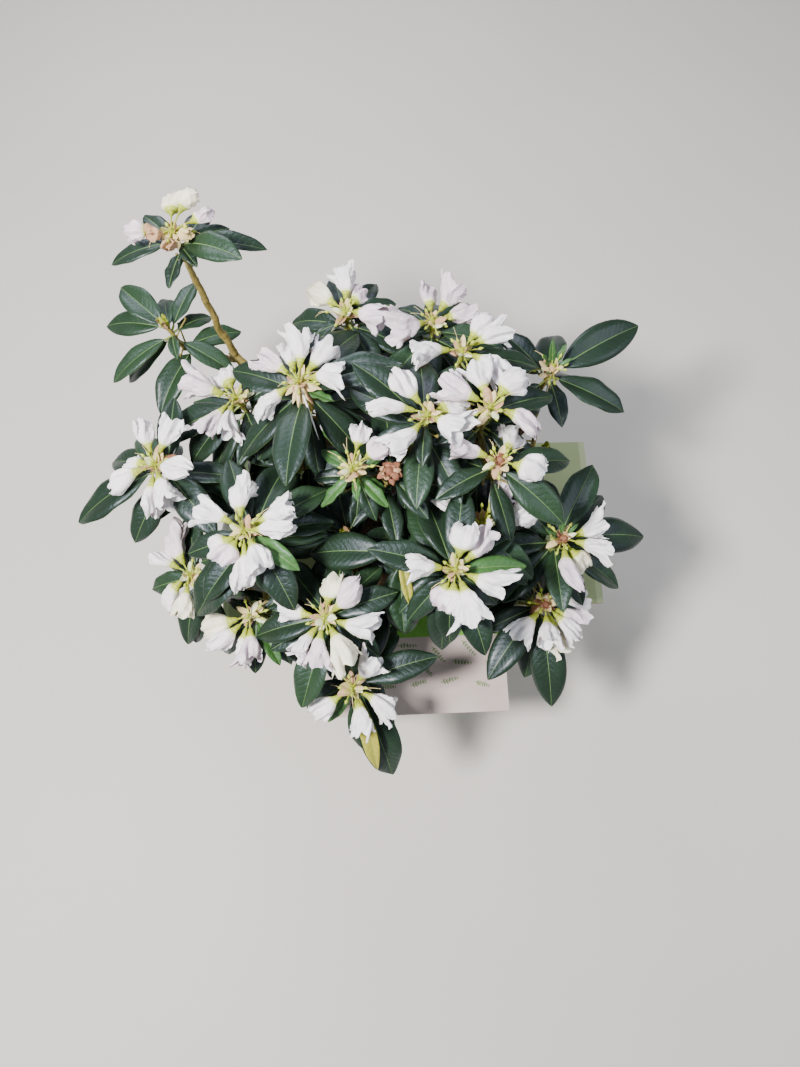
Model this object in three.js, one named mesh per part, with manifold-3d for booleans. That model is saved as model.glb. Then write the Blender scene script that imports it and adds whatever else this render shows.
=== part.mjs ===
// A white-flowered evergreen azalea shrub in its nursery pot, inside a square plant carton.
// Millimetres, +Z up, front of the carton towards -Y. The origin is the middle of the
// carton's underside, which the whole plant stands on.

import * as THREE from 'three';
import { mergeVertices } from 'three/addons/utils/BufferGeometryUtils.js';
import Module from 'manifold-3d';

const wasm = await Module();
wasm.setup();
const { Manifold } = wasm;

const GAP = 0.3;                    // clearance between pieces that touch

// Square carton of corrugated board, its four flaps folded out at the rim
const CARTON_SIDE = 230;
const CARTON_HEIGHT = 200;
const BOARD = 3;
const FLAP_WIDTH = 226;
const FLAP_LENGTH = 127;
const FLAP_DROOP = 4;               // degrees below level

// Round nursery pot in the carton, and the soil in it
const POT_HEIGHT = 186;
const POT_TOP = 107;                // outer radius at the rim
const POT_FOOT = 84;                // outer radius at the bottom
const POT_WALL = 2;
const POT_RIM = 3;                  // how far the rolled rim stands out
const POT_RIM_DEPTH = 10;
const SOIL_DEPTH = 14;              // from the pot's rim down to the soil
const SOIL_EDGE = 3;                // how much lower the soil lies along the wall
const SOIL_FLAT = 60;               // radius of its level middle
const POT_SIDES = 20;

// Stem: a short trunk with a root flare, cut flat at the soil
const STEM_TOP = [4, 4, 262];
const STEM_SHARES = [0, 0.14, 0.35, 0.7, 1];
const STEM_RADII = [18, 12.5, 11, 10, 9.5];
const LIMB_SIDES = 6;
const LIMB_STEPS = 6;
const LIMB_OUT = 0.62;              // a limb first runs outward for this share of its way
const LIMB_UP = 0.3;                // and has risen this share of its height by then

// Leaves: elliptic and leathery, in a whorl under each truss, with older ones below
const LEAF_WIDTH = 0.42;            // share of the leaf's length
const LEAF_THICK = 0.016;           // share of the leaf's length, keel included
const LEAF_SIDES = 3;               // a flat blade over the keel of its midrib
const LEAF_STATIONS = [0, 0.36, 0.74, 1];
const LEAF_SPREAD = [0, 0.94, 0.82, 0];
const LEAF_PITCH = 14;              // degrees above level at the root, young whorl
const LEAF_BEND = 42;               // degrees that a blade turns down over its length
const OLD_LEAVES = 3;
const OLD_PITCH = -6;
const OLD_TURN = 35;                // bearing of the first old leaf past the first young one
const LEAF_VARY = { bearing: 7, pitch: 7, bend: 10, long: 0.14 };
const FLOWER_VARY = 5;              // degrees of pitch
const ROOT_OUT = 0.6;               // a leaf's root lies this far from its twig's centre line
const WHORL_TOP = 13;               // distance of the first leaf below the truss
const WHORL_STEP = 1.7;
const OLD_TOP = 27;
const OLD_STEP = 3;

// Flowers: funnels on stalks that widen evenly, rooted in a knob of bracts
const STALK = 20;
const BELL = 41;
const MOUTH = 15;                   // radius of the open end
const THROAT = 14;                  // depth of the hollow in the open end
const NECK = 2.6;
const PETALS = 5;
const FLOWER_OUT = 2;               // a stalk's root lies this far from the knob's middle
const KNOB = { radius: 7.5, length: 17 };
const FLOWER_PITCHES = [8, 24, -4, 16, -10];
const BUD = { radius: 7, length: 19 };

// Twigs: three-sided, straight for the stretch that carries the leaves
const TWIG_SIDES = 3;
const TWIG_STEPS = 4;
const TWIG_RADIUS = 2.6;
const STEM_STUB = 16;               // common stem of a mass, up to where its twigs part
const TWIG_SUNK = 0.7;              // share of that stem at which a twig's foot lies inside it
const TWIG_PULL = 0.35;             // how far a twig keeps each end's direction
const SHOOT_STRAIGHT = 42;
const LEAN_LEAST = 8;               // degrees that a shoot leans outward
const LEAN_MORE = 20;

// Room that a leaf or flower keeps to everything grown before it
const ROOM = 7.5;
const ROOM_KIN = 4;                 // within one mass
const ROOTWARD = 2;                 // points near a root, which its own mass may touch
const TRY_TURNS = [0, 6, -6, 12, -12, 20, -20];
const TRY_LIFTS = [0, 6, -8, 12, -16, 20, -26, -38];
const TURN_COST = 2;                // a turn is tried later than a lift of as many degrees
const FOLIAGE_FLOOR = CARTON_HEIGHT + 10;
const FLAP_ROOM = 6;
const FIRST_SEED = 1000;

// Limbs: what each grows from, at which share of that one's length, where its tip is, and
// its radius at both ends
const LIMBS = [
  { name: 'left_back_bough', from: 'stem', at: 0.5, tip: [-204, 180, 352], radii: [7, 5] },
  { name: 'top_left_bough', from: 'left_back_bough', at: 0.97, tip: [-214, 188, 488], radii: [4.4, 3.4] },
  { name: 'left_whorl_bough', from: 'left_back_bough', at: 0.95, tip: [-232, 186, 346], radii: [4, 3.2] },
  { name: 'crown_left_bough', from: 'left_back_bough', at: 0.42, tip: [-118, 68, 372], radii: [5, 3.6] },
  { name: 'back_bough', from: 'stem', at: 0.75, tip: [-10, 124, 338], radii: [6, 4] },
  { name: 'left_bough', from: 'stem', at: 0.68, tip: [-204, 6, 322], radii: [6, 4] },
  { name: 'front_left_bough', from: 'left_bough', at: 0.4, tip: [-158, -92, 292], radii: [4.6, 3.6] },
  { name: 'front_bough', from: 'stem', at: 0.52, tip: [-62, -158, 268], radii: [6, 4] },
  { name: 'front_right_bough', from: 'stem', at: 0.7, tip: [50, -92, 330], radii: [6, 4] },
  { name: 'right_low_bough', from: 'front_right_bough', at: 0.3, tip: [124, -88, 264], radii: [4.6, 3.6] },
  { name: 'right_bough', from: 'stem', at: 0.6, tip: [146, 70, 326], radii: [6, 4] },
  { name: 'crown_right_bough', from: 'right_bough', at: 0.36, tip: [84, 26, 384], radii: [4.6, 3.6] },
  { name: 'crown_bough', from: 'stem', at: 0.98, tip: [-6, -10, 388], radii: [6, 4] },
];

// Masses of foliage. Each shoot has its place (the middle of its truss or its end bud), how
// many leaves its young whorl has, their usual length, the bearings of its flowers in bloom,
// its marked leaves (bearing, length and, where they differ from the rule, pitch and
// distance down the twig), and how many old leaves it has, where these aren't the usual
// number. Bearings are degrees anticlockwise from +X, seen from above.
const MASSES = [
  { name: 'top_left_foliage', limb: 'top_left_bough', shoots: [
    { at: [-217, 190, 550], whorl: 8, long: 88, old: 0, bloom: [95, 60, 30, 180],
      leaves: [[186, 78], [302, 40], [332, 87], [358, 90], [30, 57], [134, 66, 28], [258, 48]] }] },
  { name: 'left_whorl_foliage', limb: 'left_whorl_bough', shoots: [
    { at: [-274, 192, 402], whorl: 8, long: 86, old: 1, bloom: [],
      leaves: [[162, 93, 28], [138, 90, 33], [105, 75, 33], [70, 78, 33], [46, 66], [282, 42],
        [208, 96], [240, 95, 10, 62], [8, 75, 26, 46], [354, 93, 10, 74]] }] },
  { name: 'back_foliage', limb: 'back_bough', shoots: [
    { at: [-57, 172, 430], whorl: 8, long: 92, bloom: [135, 85, 60, 330],
      leaves: [[24, 63], [198, 40]] },
    { at: [40, 152, 432], whorl: 8, long: 92, bloom: [95, 50, 20, 215],
      leaves: [[124, 69], [190, 54]] },
    { at: [10, 196, 348], whorl: 7, long: 90, bloom: [],
      leaves: [[40, 90]] }] },
  { name: 'crown_left_foliage', limb: 'crown_left_bough', shoots: [
    { at: [-102, 60, 470], whorl: 8, long: 92, bloom: [108, 82, 50, 140, 200, 0],
      leaves: [[56, 112, 18], [330, 38], [316, 118], [14, 110], [212, 102], [260, 118], [152, 100],
        [114, 92]] },
    { at: [-184, 86, 402], whorl: 7, long: 88, bloom: [112, 165, 225, 260],
      leaves: [[193, 118, 20], [216, 98]] },
    { at: [-104, 128, 340], whorl: 7, long: 90, bloom: [],
      leaves: [[90, 90]] },
    { at: [-122, 28, 352], whorl: 6, long: 84, bloom: [],
      leaves: [[250, 84]] }] },
  { name: 'left_foliage', limb: 'left_bough', shoots: [
    { at: [-273, 12, 392], whorl: 8, long: 90, bloom: [60, 108, 157, 199, 262, 292, 325],
      leaves: [[200, 122, 22], [310, 104], [42, 66]] },
    { at: [-196, 34, 318], whorl: 6, long: 88, bloom: [],
      leaves: [[284, 62], [216, 45], [120, 88]] }] },
  { name: 'front_left_foliage', limb: 'front_left_bough', shoots: [
    { at: [-163, -85, 430], whorl: 8, long: 94, bloom: [100, 150, 208, 240, 272, 300, 345, 24],
      leaves: [[222, 120, 5, 36], [318, 68], [262, 50], [300, 92, 6, 22]] },
    { at: [-245, -97, 332], whorl: 7, long: 84, bloom: [120, 150, 210, 264],
      leaves: [[100, 84]] },
    { at: [-178, -146, 322], whorl: 7, long: 84, bloom: [190, 222, 250, 275],
      leaves: [[298, 63], [268, 68], [144, 42]] }] },
  { name: 'front_foliage', limb: 'front_bough', shoots: [
    { at: [-88, -165, 372], whorl: 8, long: 92, bloom: [75, 28, 341, 299, 165, 228, 257],
      leaves: [[16, 81], [356, 57], [324, 72], [250, 105]] },
    { at: [-66, -228, 312], whorl: 7, long: 92, bloom: [211, 38, 333, 288],
      leaves: [[18, 99], [292, 128, 2, 26], [230, 56], [285, 108, 6, 13]] },
    { at: [-68, -66, 356], whorl: 6, long: 86, bloom: [],
      leaves: [[60, 84]] }] },
  { name: 'front_right_foliage', limb: 'front_right_bough', shoots: [
    { at: [49, -135, 422], whorl: 8, long: 92, bloom: [175, 71, 40, 333, 235, 262, 290],
      leaves: [[218, 78], [4, 78], [292, 93], [332, 63]] },
    { at: [80, -78, 398], whorl: 6, long: 88, bloom: [150, 60, 8],
      leaves: [[45, 88]] },
    { at: [-8, -106, 400], whorl: 6, long: 98, bloom: [],
      leaves: [[170, 111], [98, 72], [6, 48]] }] },
  { name: 'right_low_foliage', limb: 'right_low_bough', shoots: [
    { at: [171, -83, 352], whorl: 9, long: 90, bloom: [17, 342, 307, 268],
      leaves: [[10, 118, 22], [62, 105, 22], [96, 81], [130, 87], [184, 81], [228, 90]] },
    { at: [152, -142, 300], whorl: 7, long: 88, bloom: [225, 268, 292, 315, 338, 15],
      leaves: [[228, 106], [276, 125, 24], [202, 69]] }] },
  { name: 'right_foliage', limb: 'right_bough', shoots: [
    { at: [172, 103, 402], whorl: 7, long: 98, old: 2, bloom: [],
      leaves: [[26, 125, 38], [334, 99], [280, 66], [158, 93], [122, 93]] },
    { at: [166, 36, 336], whorl: 4, long: 80, old: 0, bloom: [],
      leaves: [[110, 80], [160, 84], [205, 84], [250, 70]] },
    { at: [98, 134, 346], whorl: 7, long: 90, bloom: [],
      leaves: [[70, 90]] }] },
  { name: 'crown_right_foliage', limb: 'crown_right_bough', shoots: [
    { at: [92, 18, 472], whorl: 7, long: 88, bloom: [106, 47, 344, 156],
      leaves: [[128, 86], [12, 84], [205, 60]] },
    { at: [98, -36, 458], whorl: 3, long: 92, bloom: [160, 338, 60],
      leaves: [[320, 92], [205, 72, 0], [12, 96]] },
    { at: [69, 98, 452], whorl: 3, long: 90, old: 1, bloom: [54, 22, 182, 322],
      leaves: [[0, 90], [245, 76], [300, 80]] }] },
  { name: 'crown_foliage', limb: 'crown_bough', shoots: [
    { at: [29, 8, 482], whorl: 6, long: 90, bloom: [171, 130, 233, 308, 33],
      leaves: [[354, 57], [272, 51], [202, 60, 2]] },
    { at: [-50, -33, 452], whorl: 6, long: 46, bloom: [74, 20],
      leaves: [[142, 48], [216, 51], [274, 33], [312, 48], [336, 36], [30, 36]] },
    { at: [-12, -37, 448], whorl: 8, long: 94, bloom: [],
      leaves: [[22, 90], [336, 60], [314, 60], [202, 105]] }] },
];

const radians = THREE.MathUtils.degToRad;
const vector = ([x, y, z]) => new THREE.Vector3(x, y, z);

// Seeded numbers from 0 to 1, the same on every run
function seeded(seed) {
  let state = seed;
  return () => {
    state = (state + 0x6d2b79f5) >>> 0;
    let mixed = Math.imul(state ^ (state >>> 15), state | 1);
    mixed = (mixed + Math.imul(mixed ^ (mixed >>> 7), mixed | 61)) ^ mixed;
    return ((mixed ^ (mixed >>> 14)) >>> 0) / 4294967296;
  };
}

// Closed geometry with merged vertices and no faces that have shrunk to a line
function welded(geometry) {
  const bare = geometry.clone();
  bare.deleteAttribute('normal');
  bare.deleteAttribute('uv');
  const merged = mergeVertices(bare, 1e-4);
  const index = [];
  for (let i = 0; i < merged.index.count; i += 3) {
    const [a, b, c] = [0, 1, 2].map((k) => merged.index.getX(i + k));
    if (a !== b && b !== c && c !== a) index.push(a, b, c);
  }
  merged.setIndex(index);
  return merged;
}

function toSolid(geometry) {
  const merged = welded(geometry);
  const vertProperties = new Float32Array(merged.attributes.position.array);
  const triVerts = new Uint32Array(merged.index.array);
  return new Manifold(new wasm.Mesh({ numProp: 3, vertProperties, triVerts }));
}

function toGeometry(solid) {
  const { vertProperties, triVerts } = solid.getMesh();
  const geometry = new THREE.BufferGeometry();
  geometry.setAttribute('position', new THREE.BufferAttribute(vertProperties, 3));
  geometry.setIndex(new THREE.BufferAttribute(triVerts, 1));
  geometry.computeVertexNormals();
  return geometry;
}

// A cylinder whose rings are moved onto stations, each with a centre, two half sizes and
// the directions that these lie along
function sweep(stations, sides) {
  const geometry = new THREE.CylinderGeometry(1, 1, 1, sides, stations.length - 1);
  const place = geometry.attributes.position;
  const spot = new THREE.Vector3();
  for (let i = 0; i < place.count; i += 1) {
    const ring = stations[Math.round((place.getY(i) + 0.5) * (stations.length - 1))];
    spot.copy(ring.centre);
    spot.addScaledVector(ring.across, place.getX(i) * ring.width);
    spot.addScaledVector(ring.upright, place.getZ(i) * ring.height);
    place.setXYZ(i, spot.x, spot.y, spot.z);
  }
  return geometry;
}

// A round or three-sided tube through points, with a radius at each
function tube(points, radii, sides) {
  const across = new THREE.Vector3(1, 0, 0);
  const stations = points.map((centre, i) => {
    const ahead = points[Math.min(i + 1, points.length - 1)];
    const behind = points[Math.max(i - 1, 0)];
    const along = ahead.clone().sub(behind).normalize();
    across.addScaledVector(along, -across.dot(along)).normalize();
    const upright = across.clone().cross(along);
    return { centre, across: across.clone(), upright, width: radii[i], height: radii[i] };
  });
  return sweep(stations, sides);
}

const radiiBetween = ([foot, tip], steps) =>
  Array.from({ length: steps + 1 }, (_, i) => foot + ((tip - foot) * i) / steps);

function directionAtEnd(points) {
  return points.at(-1).clone().sub(points.at(-2)).normalize();
}

// The point of a polyline at a share of its length
function pointAlong(points, share) {
  const runs = points.slice(1).map((point, i) => point.distanceTo(points[i]));
  let far = share * runs.reduce((sum, run) => sum + run, 0);
  for (const [i, run] of runs.entries()) {
    if (far <= run) return points[i].clone().lerp(points[i + 1], far / run);
    far -= run;
  }
  return points.at(-1).clone();
}

const spacedPoints = (points) => Array.from({ length: 25 }, (_, i) => pointAlong(points, i / 24));

// Bearing and pitch in degrees to a direction
function heading(bearing, pitch) {
  const [b, p] = [radians(bearing), radians(pitch)];
  return new THREE.Vector3(Math.cos(p) * Math.cos(b), Math.cos(p) * Math.sin(b), Math.sin(p));
}

// Midrib of a leaf: an arc that leaves its root at the pitch and bends down evenly
function midrib({ root, bearing, pitch, bend, long }, t) {
  const [start, turn] = [radians(pitch), radians(bend)];
  const out = (long / turn) * (Math.sin(start) - Math.sin(start - turn * t));
  const up = (long / turn) * (Math.cos(start - turn * t) - Math.cos(start));
  const flat = heading(bearing, 0);
  return root.clone().addScaledVector(flat, out).add(new THREE.Vector3(0, 0, up));
}

function leafGeometry(leaf) {
  const across = heading(leaf.bearing + 90, 0);
  const edge = Math.sin((2 * Math.PI) / LEAF_SIDES);
  const stations = LEAF_STATIONS.map((t, i) => {
    const along = heading(leaf.bearing, leaf.pitch - leaf.bend * t);
    const width = (LEAF_SPREAD[i] * LEAF_WIDTH * leaf.long) / (2 * edge);
    const height = i === LEAF_STATIONS.length - 1 ? 0 : (LEAF_THICK * leaf.long) / 1.5;
    return { centre: midrib(leaf, t), across, upright: across.clone().cross(along), width, height };
  });
  return sweep(stations, LEAF_SIDES);
}

// A five-sided body turned about +Y, which is then pointed along an axis
function turned(profile, root, axis) {
  const geometry = new THREE.LatheGeometry(profile.map(([r, y]) => new THREE.Vector2(r, y)), PETALS);
  const turn = new THREE.Quaternion().setFromUnitVectors(new THREE.Vector3(0, 1, 0), axis);
  return geometry.applyQuaternion(turn).translate(root.x, root.y, root.z);
}

function flowerGeometry({ root, bearing, pitch }) {
  const reach = STALK + BELL;
  const profile = [[0, 0], [NECK, STALK], [MOUTH, reach], [0, reach - THROAT]];
  return turned(profile, root, heading(bearing, pitch));
}

// The knob of bracts of a truss, or the end bud of a shoot that doesn't flower
function knobGeometry({ at, axis, bloom }) {
  const { radius, length } = bloom.length > 0 ? KNOB : BUD;
  const root = vector(at).addScaledVector(axis, -length / 2);
  return turned([[0, 0], [radius, length / 2], [0, length]], root, axis);
}

// Points all over a leaf's blade, and over a flower, that the room round it is tested at.
// The first two are near its root, where it may touch its own mass.
function leafPoints(leaf) {
  const across = heading(leaf.bearing - 90, 0);
  const points = [midrib(leaf, 0.08), midrib(leaf, 0.16)];
  for (let row = 0; row < 10; row += 1) {
    const t = 0.24 + 0.08 * row;
    const half = (LEAF_WIDTH * leaf.long * Math.sin(Math.PI * (0.12 + 0.8 * t))) / 2;
    for (const side of [-0.92, -0.6, -0.3, 0, 0.3, 0.6, 0.92]) {
      points.push(midrib(leaf, t).addScaledVector(across, side * half));
    }
  }
  return points;
}

function flowerPoints({ root, bearing, pitch }) {
  const along = heading(bearing, pitch);
  const across = heading(bearing - 90, 0);
  const upright = across.clone().cross(along);
  const points = [0.4, 0.7, 1].map((share) => root.clone().addScaledVector(along, share * STALK));
  for (const share of [0.4, 0.7, 1]) {
    const centre = root.clone().addScaledVector(along, STALK + share * BELL);
    for (let i = 0; i < 6; i += 1) {
      const angle = (i * Math.PI) / 3;
      const rim = across.clone().multiplyScalar(Math.cos(angle)).addScaledVector(upright, Math.sin(angle));
      points.push(centre.clone().addScaledVector(rim, share * MOUTH));
    }
  }
  return points;
}

// Everything grown so far, as groups of points with the mass that they belong to
const grown = [];

function remember(points, radius, owner) {
  const box = new THREE.Box3().setFromPoints(points);
  grown.push({ points, radius, owner, box });
}

function touchesCarton(point) {
  const [x, y] = [Math.abs(point.x), Math.abs(point.y)];
  const half = FLAP_WIDTH / 2 + FLAP_ROOM;
  const reach = CARTON_SIDE / 2 + FLAP_LENGTH + FLAP_ROOM;
  return point.z < FOLIAGE_FLOOR && Math.min(x, y) < half && Math.max(x, y) < reach;
}

function isClear(points, owner) {
  if (points.some(touchesCarton)) return false;
  const box = new THREE.Box3().setFromPoints(points);
  return grown.every((other) => {
    const kin = other.owner === owner;
    const room = other.radius + (kin ? ROOM_KIN : ROOM);
    if (!other.box.clone().expandByScalar(room).intersectsBox(box)) return true;
    const tested = kin ? points.slice(ROOTWARD) : points;
    return tested.every((p) => other.points.every((q) => p.distanceToSquared(q) > room * room));
  });
}

// Turns and lifts a leaf or flower a little until it has room, or leaves it out. The
// smallest change is tried first.
const costOf = ([turn, lift]) => TURN_COST * Math.abs(turn) + Math.abs(lift);
const TRIES = TRY_TURNS.flatMap((turn) => TRY_LIFTS.map((lift) => [turn, lift]))
  .sort((one, other) => costOf(one) - costOf(other));

function settle(piece, pointsOf, owner) {
  for (const [turn, lift] of TRIES) {
    const tried = { ...piece, bearing: piece.bearing + turn, pitch: piece.pitch + lift };
    const points = pointsOf(tried);
    if (isClear(points, owner)) {
      remember(points, 0, owner);
      return tried;
    }
  }
  return null;
}

// Carton, flaps, pot and soil
function boxSolid(width, depth, height, bottom) {
  return toSolid(new THREE.BoxGeometry(width, depth, height).translate(0, 0, bottom + height / 2));
}

function cartonGeometry() {
  const inside = CARTON_SIDE - 2 * BOARD;
  const shell = boxSolid(CARTON_SIDE, CARTON_SIDE, CARTON_HEIGHT, 0);
  return toGeometry(shell.subtract(boxSolid(inside, inside, CARTON_HEIGHT, BOARD)));
}

// A flap from its crease outward along -Y
function flapGeometry() {
  const flap = new THREE.BoxGeometry(FLAP_WIDTH, FLAP_LENGTH, BOARD);
  return flap.translate(0, -FLAP_LENGTH / 2, -BOARD / 2).rotateX(radians(FLAP_DROOP));
}

// A round body about +Z from pairs of radius and height
function roundGeometry(profile) {
  const outline = profile.map(([r, z]) => new THREE.Vector2(r, z));
  return welded(new THREE.LatheGeometry(outline, POT_SIDES).rotateX(Math.PI / 2));
}

const potFoot = BOARD + GAP;
const potTop = potFoot + POT_HEIGHT;
const soilTop = potTop - SOIL_DEPTH;
const potSlope = (POT_TOP - POT_RIM - POT_FOOT) / POT_HEIGHT;
const potRadius = (z) => POT_FOOT + potSlope * (z - potFoot);

function potGeometry() {
  return roundGeometry([
    [0, potFoot], [POT_FOOT, potFoot],
    [potRadius(potTop - POT_RIM_DEPTH), potTop - POT_RIM_DEPTH],
    [POT_TOP, potTop - POT_RIM_DEPTH], [POT_TOP, potTop],
    [potRadius(potTop) - POT_WALL, potTop],
    [potRadius(potFoot + POT_WALL) - POT_WALL, potFoot + POT_WALL], [0, potFoot + POT_WALL],
  ]);
}

function soilGeometry() {
  const bottom = potFoot + POT_WALL + GAP;
  const clear = POT_WALL + GAP;
  const edge = soilTop - SOIL_EDGE;
  return roundGeometry([
    [0, bottom], [potRadius(bottom) - clear, bottom],
    [potRadius(edge) - clear, edge], [SOIL_FLAT, soilTop], [0, soilTop],
  ]);
}

// Stem and limbs: the stem first, and each limb cut clear of all that were made before it
const limbs = new Map();

function stemPoints() {
  const foot = soilTop + GAP;
  const [x, y, top] = STEM_TOP;
  return STEM_SHARES.map((share, i) => {
    const lean = i < 2 ? 0 : share;
    return new THREE.Vector3(x * lean, y * lean, foot + (top - foot) * share);
  });
}

function limbPoints({ from, at, tip }) {
  const parent = limbs.get(from).points;
  const foot = pointAlong(parent, at);
  const end = vector(tip);
  const bend = new THREE.Vector3(
    foot.x + (end.x - foot.x) * LIMB_OUT,
    foot.y + (end.y - foot.y) * LIMB_OUT,
    foot.z + (end.z - foot.z) * LIMB_UP,
  );
  return new THREE.QuadraticBezierCurve3(foot, bend, end).getPoints(LIMB_STEPS);
}

function withClearance({ points, radii }) {
  const end = points.at(-1).clone().addScaledVector(directionAtEnd(points), GAP);
  return toSolid(tube([...points.slice(0, -1), end], radii.map((r) => r + GAP), LIMB_SIDES));
}

function growLimb(name, points, radii) {
  let solid = toSolid(tube(points, radii, LIMB_SIDES));
  for (const other of limbs.values()) solid = solid.subtract(withClearance(other));
  limbs.set(name, { points, radii, solid });
  remember(spacedPoints(points), radii.at(-1), name);
}

growLimb('stem', stemPoints(), STEM_RADII);
for (const limb of LIMBS) {
  growLimb(limb.name, limbPoints(limb), radiiBetween(limb.radii, LIMB_STEPS));
}

// A shoot leans away from the stem, more when it is far out and low
function shootLean([x, y, z]) {
  const far = Math.hypot(x, y) / 300;
  const low = 1 - (z - 300) / 300;
  return { bearing: THREE.MathUtils.radToDeg(Math.atan2(y, x)), lean: LEAN_LEAST + LEAN_MORE * far * low };
}

// The twig of a shoot: a curve from the mass's stem, then a straight stretch to the truss
function twigPoints(start, along, top, axis) {
  const base = top.clone().addScaledVector(axis, -SHOOT_STRAIGHT);
  const far = start.distanceTo(base);
  const curve = new THREE.CubicBezierCurve3(
    start,
    start.clone().addScaledVector(along, far * TWIG_PULL),
    base.clone().addScaledVector(axis, -far * TWIG_PULL),
    base,
  );
  return [...curve.getPoints(TWIG_STEPS), top];
}

// The point of a twig at a distance below its top, measured along it
function downTheTwig(route, down) {
  const length = route.slice(1).reduce((sum, point, i) => sum + point.distanceTo(route[i]), 0);
  return pointAlong(route, 1 - down / length);
}

// Up to an amount more or less
const vary = (random, amount) => amount * (2 * random() - 1);

// The lean of the shoot tips its outer leaves and flowers down and its inner ones up
const tipped = (shoot, bearing) => shoot.lean * Math.cos(radians(bearing - shoot.out));

function flowersOf(shoot, random, owner) {
  return shoot.bloom.map((bearing, i) => {
    const level = FLOWER_PITCHES[i % FLOWER_PITCHES.length] + vary(random, FLOWER_VARY);
    const pitch = level - tipped(shoot, bearing);
    const root = vector(shoot.at).addScaledVector(heading(bearing, pitch), FLOWER_OUT);
    return settle({ root, bearing, pitch }, flowerPoints, owner);
  }).filter(Boolean);
}

// Marked leaves further down the twig don't count towards the whorl, whose widest gaps are
// filled with more leaves until it is full
function fillingBearings({ leaves, whorl }) {
  const taken = leaves.filter((leaf) => leaf.length < 4).map(([bearing]) => bearing);
  const filling = [];
  while (taken.length < whorl) {
    taken.sort((one, other) => one - other);
    let [start, widest] = [0, 0];
    for (const [i, bearing] of taken.entries()) {
      const gap = (taken[i + 1] ?? taken[0] + 360) - bearing;
      if (gap > widest) [start, widest] = [bearing, gap];
    }
    const middle = (start + widest / 2) % 360;
    filling.push(middle);
    taken.push(middle);
  }
  return filling;
}

// A leaf with its root on the shoot's twig, some way below the truss
function growLeaf(shoot, { bearing, pitch, bend, long, down }, owner) {
  const root = downTheTwig(shoot.route, down).addScaledVector(heading(bearing, 0), ROOT_OUT);
  const leaf = { root, bearing, pitch: pitch - tipped(shoot, bearing), bend, long };
  return settle(leaf, leafPoints, owner);
}

function markedLeaves(shoot, owner) {
  const leaves = shoot.leaves.map(([bearing, long, pitch = LEAF_PITCH, lower], i) => {
    const down = lower ?? WHORL_TOP + WHORL_STEP * i;
    return growLeaf(shoot, { bearing, pitch, bend: LEAF_BEND, long, down }, owner);
  });
  return leaves.filter(Boolean);
}

function varied(shoot, leaf, random) {
  return {
    ...leaf,
    bearing: leaf.bearing + vary(random, LEAF_VARY.bearing),
    pitch: leaf.pitch + vary(random, LEAF_VARY.pitch),
    bend: LEAF_BEND + vary(random, LEAF_VARY.bend),
    long: shoot.long * (1 + vary(random, LEAF_VARY.long)),
  };
}

function fillingLeaves(shoot, random, owner) {
  const [first] = shoot.leaves[0];
  const young = fillingBearings(shoot).map((bearing, i) => {
    const down = WHORL_TOP + WHORL_STEP * (shoot.leaves.length + i);
    return { bearing, pitch: LEAF_PITCH, down };
  });
  const old = Array.from({ length: shoot.old ?? OLD_LEAVES }, (_, i) => {
    const bearing = first + OLD_TURN + (360 * i) / OLD_LEAVES;
    return { bearing, pitch: OLD_PITCH, down: OLD_TOP + OLD_STEP * i };
  });
  const leaves = [...young, ...old].map((leaf) => growLeaf(shoot, varied(shoot, leaf, random), owner));
  return leaves.filter(Boolean);
}

// A mass begins as its stem and the twig and knob of each shoot
function startMass(mass, number) {
  const { points, radii } = limbs.get(mass.limb);
  const along = directionAtEnd(points);
  const start = points.at(-1).clone().addScaledVector(along, GAP);
  const hub = start.clone().addScaledVector(along, STEM_STUB);
  const radius = radii.at(-1);
  const pieces = [tube([start, hub], [radius, radius * 0.9], TWIG_SIDES)];
  const sunk = start.clone().addScaledVector(along, STEM_STUB * TWIG_SUNK);
  const twigRadii = radiiBetween([radius * 0.8, TWIG_RADIUS], TWIG_STEPS + 1);
  const shoots = mass.shoots.map((marked) => {
    const { bearing: out, lean } = shootLean(marked.at);
    const axis = heading(out, 90 - lean);
    const route = twigPoints(sunk, along, vector(marked.at), axis);
    const shoot = { ...marked, out, lean, axis, route };
    pieces.push(tube(route, twigRadii, TWIG_SIDES), knobGeometry(shoot));
    remember(spacedPoints(route), TWIG_RADIUS, mass.name);
    remember([vector(shoot.at)], KNOB.radius, mass.name);
    return shoot;
  });
  return { name: mass.name, pieces, shoots, random: seeded(FIRST_SEED + number) };
}

// All twigs come first, then all blossom, then the marked leaves, and then the others in the
// room that is left
const started = MASSES.map(startMass);

function growAll(grow) {
  for (const { name, shoots, random, pieces } of started) {
    for (const shoot of shoots) pieces.push(...grow(shoot, random, name));
  }
}

growAll((shoot, random, name) => flowersOf(shoot, random, name).map(flowerGeometry));
growAll((shoot, random, name) => markedLeaves(shoot, name).map(leafGeometry));
growAll((shoot, random, name) => fillingLeaves(shoot, random, name).map(leafGeometry));

function massGeometry({ pieces }) {
  return toGeometry(pieces.map(toSolid).reduce((whole, piece) => whole.add(piece)));
}

// Materials, in the colours that the plant and its carton show
const finish = (color, roughness) => new THREE.MeshStandardMaterial({ color, roughness, metalness: 0 });
const board = finish('#c3bcb8', 0.85);
const greenBoard = finish('#9fae7f', 0.8);
const potPlastic = finish('#1d1e1f', 0.6);
const peat = finish('#2e231b', 1);
const bark = finish('#7d6a45', 0.9);
const foliage = finish('#3c5a3e', 0.45);

const shrub = new THREE.Group();

function addPiece(name, geometry, material, place = shrub) {
  const mesh = new THREE.Mesh(geometry, material);
  mesh.name = name;
  place.add(mesh);
  return mesh;
}

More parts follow.
